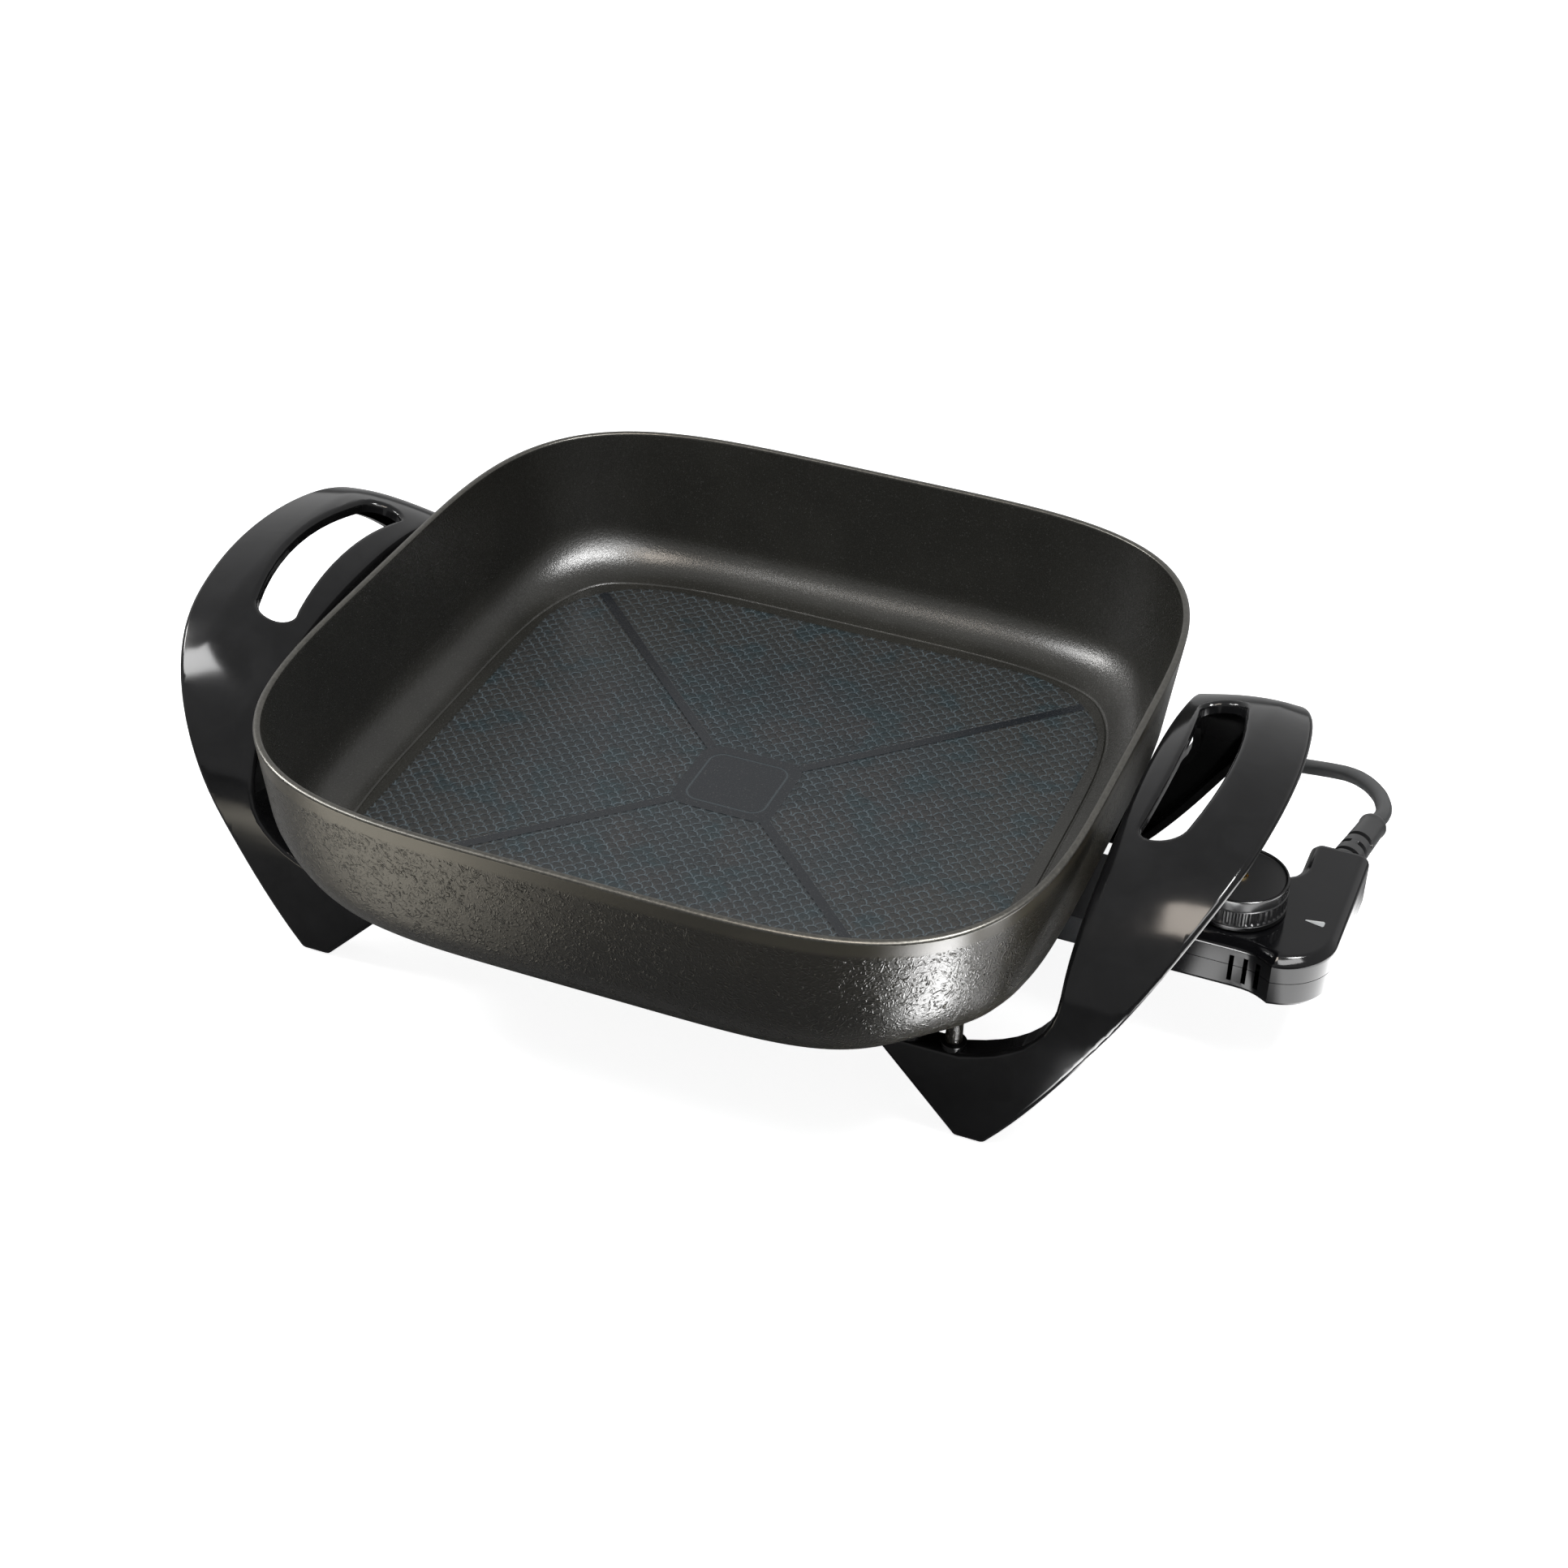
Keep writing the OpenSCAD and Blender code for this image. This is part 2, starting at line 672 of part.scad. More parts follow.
module case_screws() {
    color("silver") in_frame() for (p = screw_spots) translate([p[0], p[1], case_z0 + 0.2]) union() {
        cylinder(r = case_head_r, h = case_head_h - 0.2, $fn = 32);
        cylinder(r = case_screw_r, h = case_h - case_wall - 2, $fn = 32);
    }
}

// Pointer let into the cover beside the dial
module mark_outline(d) {
    x0 = dial_x + dial_r + 8.5;
    polygon([
        [x0 - 2 * d, 0], [x0 + mark_len + d, -mark_w / 2 - d], [x0 + mark_len + d, mark_w / 2 + d]
    ]);
}

module dial_mark() {
    color("white") in_frame() translate([0, 0, case_z1 - mark_h]) linear_extrude(mark_h) mark_outline(0);
}

// ---- contacts and probe ----

module contact_block() {
    color("tan") in_frame() difference() {
        translate([block_x0, -block_w / 2, block_z0])
            cube([block_x1 - block_x0, block_w, block_z1 - block_z0]);
        for (sy = [-1, 1]) along_x(block_x0 - past, sy * pin_pitch / 2, pin_z)
            cylinder(r = sleeve_r + fit, h = block_x1 - block_x0 + 2 * past, $fn = 48);
        along_x(block_x0 - past, 0, pin_z)
            cylinder(r = probe_r + fit, h = block_x1 - block_x0 + 2 * past, $fn = 48);
    }
}

module contact_sleeves() {
    depth = tube_end_x + pin_len + 1.5 - sleeve_x0;
    color("goldenrod") in_frame() for (sy = [-1, 1])
        along_x(sleeve_x0, sy * pin_pitch / 2, pin_z) difference() {
            cylinder(r = sleeve_r, h = block_x1 + 3 - sleeve_x0, $fn = 48);
            translate([0, 0, -past]) cylinder(r = pin_r + fit, h = depth + past, $fn = 48);
        }
}

module probe_tube() {
    len_in = block_x1 + 4 - block_x0;
    bore = probe_r - 0.7;
    color("silver") in_frame() along_x(block_x0 - probe_len, 0, pin_z)
        rotate_extrude($fn = 48) polygon(concat(
            arc([0, probe_r], probe_r, -90, 0, 6),
            [[probe_r, probe_len + len_in], [bore, probe_len + len_in], [bore, probe_r], [0, probe_r]]
        ));
}

module sensor_rod() {
    color("gray") in_frame() along_x(block_x0 - probe_len + probe_r + 0.2, 0, pin_z)
        cylinder(r = probe_r - 1, h = probe_len + block_x1 - block_x0 + 3, $fn = 32);
}

// ---- thermostat ----

module thermostat_frame() {
    w = 18;
    x0 = pivot_x - 6;
    ear_t = 1.2;
    color("silver") in_frame() difference() {
        union() {
            translate([x0, -w / 2, frame_z]) cube([dial_x + 17 - x0, w, frame_t]);
            for (y = [-arm_half_w - 1.5 - ear_t, arm_half_w + 1.5])
                translate([pivot_x - 3, y, frame_z]) cube([6, ear_t, pivot_z - frame_z + 2.5]);
        }
        translate([pivot_x, 10, pivot_z]) rotate([90, 0, 0]) cylinder(r = pivot_r + fit, h = 20, $fn = 32);
    }
}

module arm_pivot_pin() {
    reach = arm_half_w + 3.2;
    color("gray") in_frame() translate([pivot_x, reach, pivot_z]) rotate([90, 0, 0])
        cylinder(r = pivot_r, h = 2 * reach, $fn = 32);
}

module contact_arm() {
    color("peru") in_frame() difference() {
        union() {
            translate([pivot_x, arm_half_w, pivot_z]) rotate([90, 0, 0])
                cylinder(r = pivot_r + 0.9, h = 2 * arm_half_w, $fn = 32);
            translate([pivot_x, -arm_half_w, pivot_z - arm_t / 2])
                cube([rivet_x + 3 - pivot_x, 2 * arm_half_w, arm_t]);
        }
        translate([pivot_x, arm_half_w + past, pivot_z]) rotate([90, 0, 0])
            cylinder(r = pivot_r + fit, h = 2 * (arm_half_w + past), $fn = 32);
        translate([rivet_x, 0, pivot_z - past]) cylinder(r = 0.9, h = 2 * past, $fn = 24);
    }
}

module moving_contact() {
    color("gainsboro") in_frame() translate([rivet_x, 0, pivot_z - arm_t / 2 - 0.8]) union() {
        cylinder(r = rivet_r, h = 0.8, $fn = 32);
        cylinder(r = 0.9 - fit, h = 0.8 + arm_t, $fn = 24);
    }
}

module contact_base() {
    color("ivory") in_frame() translate([rivet_x - 6, -5, frame_z + frame_t])
        cube([12, 10, 1.1]);
}

module fixed_contact() {
    z0 = frame_z + frame_t + 1.1;
    color("gainsboro") in_frame() union() {
        translate([rivet_x - 5, -3, z0]) cube([14, 6, 0.6]);
        translate([rivet_x, 0, z0]) cylinder(r = rivet_r, h = pivot_z - arm_t / 2 - 0.8 - 1 - z0, $fn = 32);
    }
}

module inner_leads() {
    color("peru") in_frame() union() {
        tube(live_route, wire_r, 6);
        tube(neutral_route, wire_r, 6);
    }
}

// ---- dial ----

// Star outline that gives the dial its grip ribs
function rib_outline(r, depth, count) =
    [for (i = [0 : 4 * count - 1])
        let (a = 90 * i / count, rr = i % 4 < 2 ? r : r - depth) [rr * cos(a), rr * sin(a)]];

module dial_knob() {
    rim_h = 5;
    skirt_h = 2.4;
    dish = 1;
    hub_r = 7;
    color("#1b1b1d") in_frame() translate([dial_x, 0, dial_z0]) difference() {
        union() {
            cylinder(r = dial_r, h = skirt_h, $fn = 96);
            translate([0, 0, skirt_h]) linear_extrude(dial_h - skirt_h - rim_h)
                polygon(rib_outline(dial_r - 0.2, 0.8, dial_ribs));
            translate([0, 0, dial_h - rim_h]) cylinder(r = dial_r - 0.4, h = rim_h, $fn = 96);
        }
        translate([0, 0, dial_h - dish]) cylinder(r = dial_r - 1.6, h = dish + past, $fn = 96);
        translate([0, 0, -past]) difference() {
            cylinder(r = dial_r - 2.6, h = dial_h - 4 + past, $fn = 96);
            translate([0, 0, -past]) cylinder(r = hub_r, h = dial_h + 2 * past, $fn = 48);
        }
        translate([0, 0, -past]) cylinder(r = shaft_r + fit, h = dial_h + 2 * past, $fn = 48);
    }
}

// Brass shaft with a slot across its upper end
module dial_shaft() {
    z0 = pivot_z + arm_t / 2 + slip;
    z1 = dial_z0 + dial_h - 0.3;
    color("gold") in_frame() translate([dial_x, 0, 0]) difference() {
        translate([0, 0, z0]) cylinder(r = shaft_r, h = z1 - z0, $fn = 48);
        translate([-shaft_r - past, -0.4, z1 - 1]) cube([2 * (shaft_r + past), 0.8, 1 + past]);
        translate([0, 0, case_z1 - case_wall - 1.6]) difference() {
            cylinder(r = shaft_r + past, h = 1, $fn = 48);
            translate([0, 0, -past]) cylinder(r = shaft_r - 0.6, h = 1 + 2 * past, $fn = 48);
        }
    }
}

// Snap ring in the shaft's groove, under the cover
module shaft_clip() {
    color("gray") in_frame() translate([dial_x, 0, case_z1 - case_wall - 1.5]) difference() {
        cylinder(r = shaft_r + 2, h = 0.8, $fn = 48);
        translate([0, 0, -past]) cylinder(r = shaft_r - 0.6 + fit, h = 0.8 + 2 * past, $fn = 48);
    }
}

// ---- cord ----

module strain_relief() {
    tip_r = cord_r + 2.2;
    root_r = 7.2;
    rings = 3;
    ring_gap = 1.6;
    pitch = 7;
    color("#222326") in_frame() relief_axis() difference() {
        rotate_extrude($fn = 48) polygon([
            [0, -6.4], [8.4, -6.4], [8.4, -4.2], [relief_neck_r, -4.2], [relief_neck_r, 1.4], [root_r, 1.4],
            [tip_r, relief_len - 2], [tip_r - 1.6, relief_len], [0, relief_len]
        ]);
        for (i = [0 : rings - 1]) translate([0, 0, 6 + i * pitch]) difference() {
            cylinder(r = root_r + past, h = ring_gap, $fn = 48);
            translate([0, 0, -past]) cylinder(r = cord_r + 1, h = ring_gap + 2 * past, $fn = 48);
        }
    }
}

module cord_lead() {
    out = [sin(relief_angle), cos(relief_angle), 0];
    root = [relief_x, arm_len, relief_z];
    last = len(lead_route) - 1;
    moved = [for (i = [1 : last]) lead_route[i] + (1 - i / last) * (root - lead_root)];
    color("#2a2b2e") in_frame()
        tube(concat([root + relief_len * out], moved), cord_r, 8, out);
}

module cord_coil() {
    h = coil_layers * cord_d;
    soft = cord_r * 0.7;
    color("#2a2b2e") in_frame() translate([coil_at[0], coil_at[1], coil_lift])
        rotate_extrude($fn = 64) polygon([
            [coil_r - coil_half_w, soft], [coil_r - coil_half_w + soft, 0],
            [coil_r + coil_half_w - soft, 0], [coil_r + coil_half_w, soft],
            [coil_r + coil_half_w, h - soft], [coil_r + coil_half_w - soft, h],
            [coil_r - coil_half_w + soft, h], [coil_r - coil_half_w, h - soft]
        ]);
}

module coil_tie() {
    h = coil_layers * cord_d;
    w = 2 * coil_half_w;
    color("#101012") in_frame() translate([coil_at[0], coil_at[1] - coil_r, 0]) difference() {
        translate([-tie_w / 2, -w / 2 - tie_gap - tie_t, 0])
            cube([tie_w, w + 2 * (tie_gap + tie_t), h + coil_lift + tie_gap + tie_t]);
        translate([-tie_w, -w / 2 - tie_gap, tie_t])
            cube([2 * tie_w, w + 2 * tie_gap, h + coil_lift + tie_gap - tie_t]);
    }
}

module cord_tail() {
    color("#2a2b2e") in_frame()
        tube(concat([for (i = [0 : len(tail_route) - 2]) tail_route[i]], [plug_tail()]), cord_r, 8);
}

// ---- plug ----

// Middle of the plug's cord end, with the plug leaning on the edge of its face
function plug_tail() = [
    plug_at[0], plug_at[1],
    plug_r * cos(plug_tilt) - (plug_body_len - plug_face_t) * sin(plug_tilt) + 0.1
];

// Places the plug's axis, drawn along +Z from its cord end to its pins
module plug_axis() {
    translate(plug_tail()) rotate([90 - plug_tilt, 0, -90]) children();
}

module plug_body() {
    color("#1c1c1e") in_frame() plug_axis() difference() {
        rotate_extrude($fn = 64) polygon([
            [0, 0], [plug_tail_r - 1, 0], [plug_tail_r, 1.5], [9, 12], [14.5, 22],
            [plug_r, plug_body_len - plug_face_t],
            [plug_r, plug_body_len - 1], [plug_r - 1, plug_body_len], [0, plug_body_len]
        ]);
        for (s = [-1, 1]) translate([0, s * plug_pitch / 2, plug_body_len - 8])
            cylinder(r = plug_pin_r - pin_step + fit, h = 8 + past, $fn = 48);
        for (s = [-1, 1]) translate([s * (plug_r - 1) - clip_t - fit, -clip_w / 2 - fit, plug_body_len - 16])
            cube([2 * (clip_t + fit), clip_w + 2 * fit, 16 + past]);
    }
}

module plug_pins() {
    color("silver") in_frame() plug_axis() for (s = [-1, 1])
        translate([0, s * plug_pitch / 2, plug_body_len - 8]) rotate_extrude($fn = 48) polygon([
            [0, 0], [plug_pin_r - pin_step, 0], [plug_pin_r - pin_step, 8], [plug_pin_r, 8],
            [plug_pin_r, plug_pin_len + 7], [plug_pin_r - 1, plug_pin_len + 8], [0, plug_pin_len + 8]
        ]);
}

module plug_earth_clips() {
    color("gainsboro") in_frame() plug_axis() for (s = [-1, 1])
        translate([s * (plug_r - 1) - clip_t, -clip_w / 2, plug_body_len - 16])
            cube([2 * clip_t, clip_w, 15]);
}

pan_body();
heating_element();
terminal_pins();
terminal_insulators();
terminal_guard();
guard_screws();
handle_left();
handle_right();
handle_screws();
controller_base();
controller_cover();
case_screws();
contact_block();
contact_sleeves();
probe_tube();
sensor_rod();
thermostat_frame();
arm_pivot_pin();
contact_arm();
moving_contact();
contact_base();
fixed_contact();
inner_leads();
dial_mark();
dial_knob();
dial_shaft();
shaft_clip();
strain_relief();
cord_lead();
cord_coil();
coil_tie();
cord_tail();
plug_body();
plug_pins();
plug_earth_clips();
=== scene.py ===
import math

import bmesh
import bpy
from bpy.props import FloatProperty, FloatVectorProperty, IntProperty, PointerProperty
from mathutils import Matrix, Vector


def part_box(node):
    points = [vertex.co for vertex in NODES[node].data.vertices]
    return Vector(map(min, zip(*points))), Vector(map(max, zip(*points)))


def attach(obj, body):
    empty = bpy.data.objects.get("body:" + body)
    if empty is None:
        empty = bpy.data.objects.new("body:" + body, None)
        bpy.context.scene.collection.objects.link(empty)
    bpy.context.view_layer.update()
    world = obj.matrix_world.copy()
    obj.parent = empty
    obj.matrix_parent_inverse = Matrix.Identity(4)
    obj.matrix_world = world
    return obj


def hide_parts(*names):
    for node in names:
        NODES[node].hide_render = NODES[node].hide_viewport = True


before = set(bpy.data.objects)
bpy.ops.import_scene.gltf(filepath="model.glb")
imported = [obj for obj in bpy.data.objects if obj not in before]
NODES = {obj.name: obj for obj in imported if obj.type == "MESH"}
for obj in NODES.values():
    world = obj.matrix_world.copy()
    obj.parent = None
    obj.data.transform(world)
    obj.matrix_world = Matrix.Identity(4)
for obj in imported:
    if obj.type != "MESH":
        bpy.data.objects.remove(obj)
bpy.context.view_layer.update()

bl_info = {
    "name": "Electric Skillet",
    "version": (1, 0, 0),
    "blender": (4, 5, 0),
    "location": "View3D > Sidebar > Skillet",
    "description": "Dresses a square electric skillet with a plug-in temperature controller",
    "category": "Add Mesh",
}

# Shapes are drawn in millimetres from the middle of the pan, then moved into the frame.
MM = 0.001
SHIFT = -14.25
TO_FRAME = Matrix.Scale(MM, 4) @ Matrix.Translation((SHIFT, 0, 0))

# The posts that the handles are screwed to, in millimetres from the middle of the pan
POSTS_X = (139, 121)
POST_Y = 106.5


def ease(t):
    """Runs smoothly from 0 to 1 as t does, and stays there beyond."""
    t = min(1.0, max(0.0, t))
    return t * t * (3 - 2 * t)


# ---------------------------------------------------------------- materials


class Socket:
    """A node's output. Sums and products of it add Math nodes."""

    def __init__(self, tree, socket):
        self.tree, self.socket = tree, socket

    def node(self, kind, settings=None, inputs=None, out=0):
        return add_node(self.tree, kind, settings, inputs, out)

    def math(self, operation, *values):
        return self.node("ShaderNodeMath", {"operation": operation}, dict(enumerate(values)))

    def __add__(self, other):
        return self.math("ADD", self, other)

    def __radd__(self, other):
        return self.math("ADD", other, self)

    def __sub__(self, other):
        return self.math("SUBTRACT", self, other)

    def __rsub__(self, other):
        return self.math("SUBTRACT", other, self)

    def __mul__(self, other):
        return self.math("MULTIPLY", self, other)

    def __rmul__(self, other):
        return self.math("MULTIPLY", other, self)

    def __truediv__(self, other):
        return self.math("DIVIDE", self, other)

    def __abs__(self):
        return self.math("ABSOLUTE", self)

    def __pow__(self, other):
        return self.math("POWER", self, other)

    def least(self, other):
        return self.math("MINIMUM", self, other)

    def most(self, other):
        return self.math("MAXIMUM", self, other)

    def whole(self):
        """This value rounded down."""
        return self.math("FLOOR", self)

    def step(self, low, high, start=0.0, end=1.0):
        """Runs smoothly from start to end as this value goes from low to high."""
        return self.node(
            "ShaderNodeMapRange",
            {"interpolation_type": "SMOOTHSTEP"},
            {"Value": self, "From Min": low, "From Max": high, "To Min": start, "To Max": end},
        )

    def fade(self, low, high):
        """Runs smoothly from 1 to 0 as this value goes from low to high."""
        return self.step(low, high, 1.0, 0.0)

    def split(self):
        parts = self.node("ShaderNodeSeparateXYZ", None, {0: self})
        outs = parts.socket.node.outputs
        return [Socket(self.tree, outs[i]) for i in range(3)]


def add_node(tree, kind, settings=None, inputs=None, out=0):
    """Adds a node, sets it up, fills its sockets with values or links, and returns an output."""
    node = tree.nodes.new(kind)
    for key, value in (settings or {}).items():
        setattr(node, key, value)
    for key, value in (inputs or {}).items():
        if isinstance(value, Socket):
            tree.links.new(value.socket, node.inputs[key])
        else:
            node.inputs[key].default_value = value
    return Socket(tree, node.outputs[out])


def rgba(color):
    return (*color, 1.0)


def shade(color, *gains):
    """A colour made lighter or darker, by one gain or by one for each channel."""
    gains = gains * 3 if len(gains) == 1 else gains
    return [c * gain for c, gain in zip(color, gains)]


class Finish:
    """A material with one Principled shader, read in Object coordinates given in millimetres."""

    def __init__(self, name, color, roughness, metallic=0.0, **constants):
        self.material = bpy.data.materials.new(name)
        self.material.use_nodes = True
        self.tree = self.material.node_tree
        self.tree.nodes.clear()
        self.shader = self.tree.nodes.new("ShaderNodeBsdfPrincipled")
        output = self.tree.nodes.new("ShaderNodeOutputMaterial")
        self.tree.links.new(self.shader.outputs[0], output.inputs[0])
        self.set("Base Color", rgba(color))
        self.set("Roughness", roughness)
        self.set("Metallic", metallic)
        for key, value in constants.items():
            self.set(key.replace("_", " "), value)
        self.point = self.moved(-SHIFT, 0, 0)

    def set(self, key, value):
        socket = self.shader.inputs[key]
        if isinstance(value, Socket):
            self.tree.links.new(value.socket, socket)
        else:
            socket.default_value = value

    def node(self, kind, settings=None, inputs=None, out=0):
        return add_node(self.tree, kind, settings, inputs, out)

    def mapped(self, scale, location=(0, 0, 0)):
        coordinates = self.node("ShaderNodeTexCoord", None, None, "Object")
        inputs = {"Vector": coordinates, "Location": location, "Scale": scale}
        return self.node("ShaderNodeMapping", None, inputs)

    def moved(self, x, y, z):
        """The point in millimetres, moved, so that two noises of one finish don't agree."""
        return self.mapped((1 / MM, 1 / MM, 1 / MM), (x, y, z))

    def noise(self, size, detail=2.0, roughness=0.5, distortion=0.0, vector=None):
        """Noise whose grains are about that many millimetres across, from 0 to 1."""
        inputs = {
            "Vector": vector or self.point,
            "Scale": 1 / size,
            "Detail": detail,
            "Roughness": roughness,
            "Distortion": distortion,
        }
        return self.node("ShaderNodeTexNoise", None, inputs)

    def mix(self, factor, first, second, blend="MIX"):
        """A colour between two colours."""
        first = first if isinstance(first, Socket) else rgba(first)
        second = second if isinstance(second, Socket) else rgba(second)
        return self.node(
            "ShaderNodeMix",
            {"data_type": "RGBA", "blend_type": blend, "clamp_factor": False},
            {"Factor": factor, 6: first, 7: second},
            2,
        )

    def drift(self, value, color, low, high, start=0.3):
        """Lets the base colour drift between two shades of a colour as a value varies."""
        self.set("Base Color", self.mix(value.step(start, 0.7), shade(color, low), shade(color, high)))

    def bump(self, height, depth_mm, strength=1.0):
        """Raises the surface by that many millimetres where the height is 1."""
        links = self.shader.inputs["Normal"].links
        inputs = {"Height": height, "Distance": depth_mm * MM, "Strength": strength}
        if links:
            inputs["Normal"] = Socket(self.tree, links[0].from_socket)
        self.set("Normal", self.node("ShaderNodeBump", None, inputs))


def moulded(name, color, roughness, grain):
    """Moulded plastic: a faint flow and a fine grain in its gloss."""
    f = Finish(name, color, roughness)
    flow = f.noise(38, 2)
    fine = f.noise(0.5, 2, 0.6)
    f.drift(flow, color, 0.86, 1.18)
    f.set("Roughness", roughness + (flow - 0.5) * (roughness * 0.5) + (fine - 0.5) * 0.05)
    f.bump(fine, grain)
    return f.material


def polished(name, color, roughness, specular, swirl, fine_size, dent_size, dent_depth):
    """Polished plastic: faint swirls in its colour and gloss, and very shallow dents.

    The swirl is given as noise: size, detail, roughness and distortion."""
    f = Finish(name, color, roughness, Specular_IOR_Level=specular)
    swirls = f.noise(*swirl)
    fine = f.noise(fine_size, 3, 0.6)
    f.drift(swirls, color, 0.8, 1.2)
    f.set("Roughness", roughness + (swirls - 0.5) * 0.08 + (fine - 0.5) * 0.05)
    f.bump(f.noise(dent_size, 2), dent_depth, 0.5)
    f.bump(fine, 0.003)
    return f.material


def metal(name, color, roughness, stretch, scratch=0.006):
    """Bare or plated metal with fine marks drawn out along one way."""
    f = Finish(name, color, roughness, 1.0)
    lines = f.noise(0.5, 3, 0.6, vector=f.mapped([s / MM for s in stretch]))
    cloud = f.noise(9, 3)
    f.drift(cloud, color, 0.82, 1.0, 0.35)
    f.set("Roughness", roughness + (lines - 0.5) * 0.16 + (cloud - 0.5) * 0.12)
    f.bump(lines, scratch)
    return f.material


def ceramic(name, color):
    """Unglazed ceramic with small specks."""
    f = Finish(name, color, 0.55)
    speck = f.noise(0.35, 2)
    f.set("Base Color", f.mix(speck.step(0.62, 0.72), color, shade(color, 0.6)))
    f.set("Roughness", 0.5 + f.noise(1.2, 3) * 0.16)
    f.bump(speck, 0.02)
    return f.material


# Layout of the cooking floor in millimetres. The squares have a half width and a corner radius.
FIELD = (138.3, 54.0)
SURROUND = (24.0, 8.5)
MEDALLION = (18.5, 6.5)
# Soft edges: the height where the floor ends, and the half width and the start of a channel
FLOOR_ENDS = (59.4, 60.6)
CHANNEL_HALF = (2.0, 3.0)
CHANNEL_STARTS = (20.0, 23.0)
# Colour of the light flecks in the coating: the flakes' own colour, brightened as a painted glint
FLECK_AND_GLINT_COLOUR = (0.13, 0.13, 0.125)


def square_distance(f, half, corner):
    """Distance outside a rounded square about the middle of the pan, in millimetres."""
    x, y, _ = f.point.split()
    qx, qy = abs(x) - (half - corner), abs(y) - (half - corner)
    outside = (qx.most(0.0) * qx.most(0.0) + qy.most(0.0) * qy.most(0.0)) ** 0.5
    return outside + qx.most(qy).least(0.0) - corner


def scales(f, x, y, pitch):
    """Body and edge of small arcs in rows, each row shifted by half a scale, all a little uneven."""
    unevenness = 1.6
    stir = f.noise(4.2, 2, 0.6) - 0.5
    sway = f.noise(4.8, 2, 0.6, vector=f.moved(310, -170, 40)) - 0.5
    row = (y + stir * unevenness) / (pitch * 0.5)
    index = row.whole()
    shifted = (x + sway * unevenness) / pitch + index * 0.5
    across = shifted - shifted.whole() - 0.5
    down = row - index
    ring = (across * across * 4.0 + down * down * 0.85) ** 0.5
    return ring.fade(0.55, 0.86), abs(ring - 0.84).fade(0.03, 0.14)


def floor_clouds(f, x, y, tint):
    """Colour of the floor: warm and cool clouds, greyer and browner towards its edge."""
    colour = f.mix(f.noise(46, 3).step(0.3, 0.7), tint, shade(tint, 0.75))
    warm = f.noise(34, 2, vector=f.moved(400, 90, 0)).step(0.45, 0.66)
    colour = f.mix(warm, colour, shade(tint, 1.35, 1.0, 0.9))
    edgewise = (x * x + y * y).step(5000.0, 17000.0)
    colour = f.mix(edgewise * 0.8, colour, shade(tint, 1.6, 1.2, 0.95))
    cool = f.noise(21, 2, vector=f.moved(-230, 610, 0)).step(0.52, 0.66)
    return f.mix(cool * 0.8, colour, shade(tint, 0.6, 1.1, 1.16))


def cooking_surface(pan):
    """Non-stick coating: satin walls, and a floor of small scales between smooth channels, with painted
    highlights on the scale edges, painted shade on the channels and painted glints in its flecks.
    """
    base, tint = tuple(pan.coating), tuple(pan.floor_tint)
    f = Finish("nonstick_coating", base, 0.28, Specular_IOR_Level=0.3)
    x, y, z = f.point.split()
    on_floor = z.fade(*FLOOR_ENDS) * square_distance(f, *FIELD).fade(-0.9, 0.3)
    # four channels from the medallion to the corners of the field
    across = abs(abs(x) - abs(y)) * math.sqrt(0.5)
    channel = across.fade(*CHANNEL_HALF) * abs(x).most(abs(y)).step(*CHANNEL_STARTS)
    surround = square_distance(f, *SURROUND).fade(-0.4, 0.6)
    frame_line = abs(square_distance(f, *MEDALLION)).fade(0.2, 0.7) * on_floor
    smooth_part = channel.most(surround)
    field = on_floor * (1.0 - smooth_part)
    body, edge = scales(f, x, y, pan.scale_pitch / MM)
    grit = f.noise(0.55, 3, 0.65)
    sparkle = f.noise(0.8, 2, 0.7)
    f.bump(field * (body * 0.7 + grit * 0.5) - channel * on_floor * 0.25, 0.34, 0.9)
    f.bump(frame_line, 0.12, 0.6)
    f.bump(sparkle, 0.03)
    f.bump(f.noise(1.5, 3, 0.75) * (1.0 - on_floor), 0.13)
    # painted shade: the smooth channels and surround are darker than the field of scales, though the coating
    # is one; the field looks lighter only by its glints
    floor = f.mix(smooth_part, floor_clouds(f, x, y, tint), shade(tint, 0.34, 0.36, 0.44))
    floor = f.mix(frame_line * surround, floor, shade(tint, 1.9))
    wall = f.mix(f.noise(30, 3).step(0.3, 0.7), base, shade(base, 1.3))
    colour = f.mix(on_floor, wall, floor)
    # painted highlight: broken glints that lighten the edges of the scales
    glinting = f.noise(2.2, 3, 0.65).step(0.36, 0.58)
    colour = f.mix(field * edge * glinting, colour, shade(tint, 4.4))
    colour = f.mix(field * (1.0 - edge) * body * 0.5, colour, shade(tint, 0.45))
    # light flecks: the coating's flakes, partly their own colour and partly a painted glint
    colour = f.mix(sparkle.step(0.6, 0.7) * 0.32, colour, FLECK_AND_GLINT_COLOUR)
    f.set("Base Color", colour)
    f.set("Roughness", 0.28 + field * 0.08 + (grit - 0.5) * 0.16)
    return f.material


# Heights in millimetres: the smooth band under the rim, and the span over which painted shade darkens the
# outside downwards
BAND_STARTS = (118.5, 121.5)
PAINTED_SHADE_HEIGHTS = (62.0, 118.0)


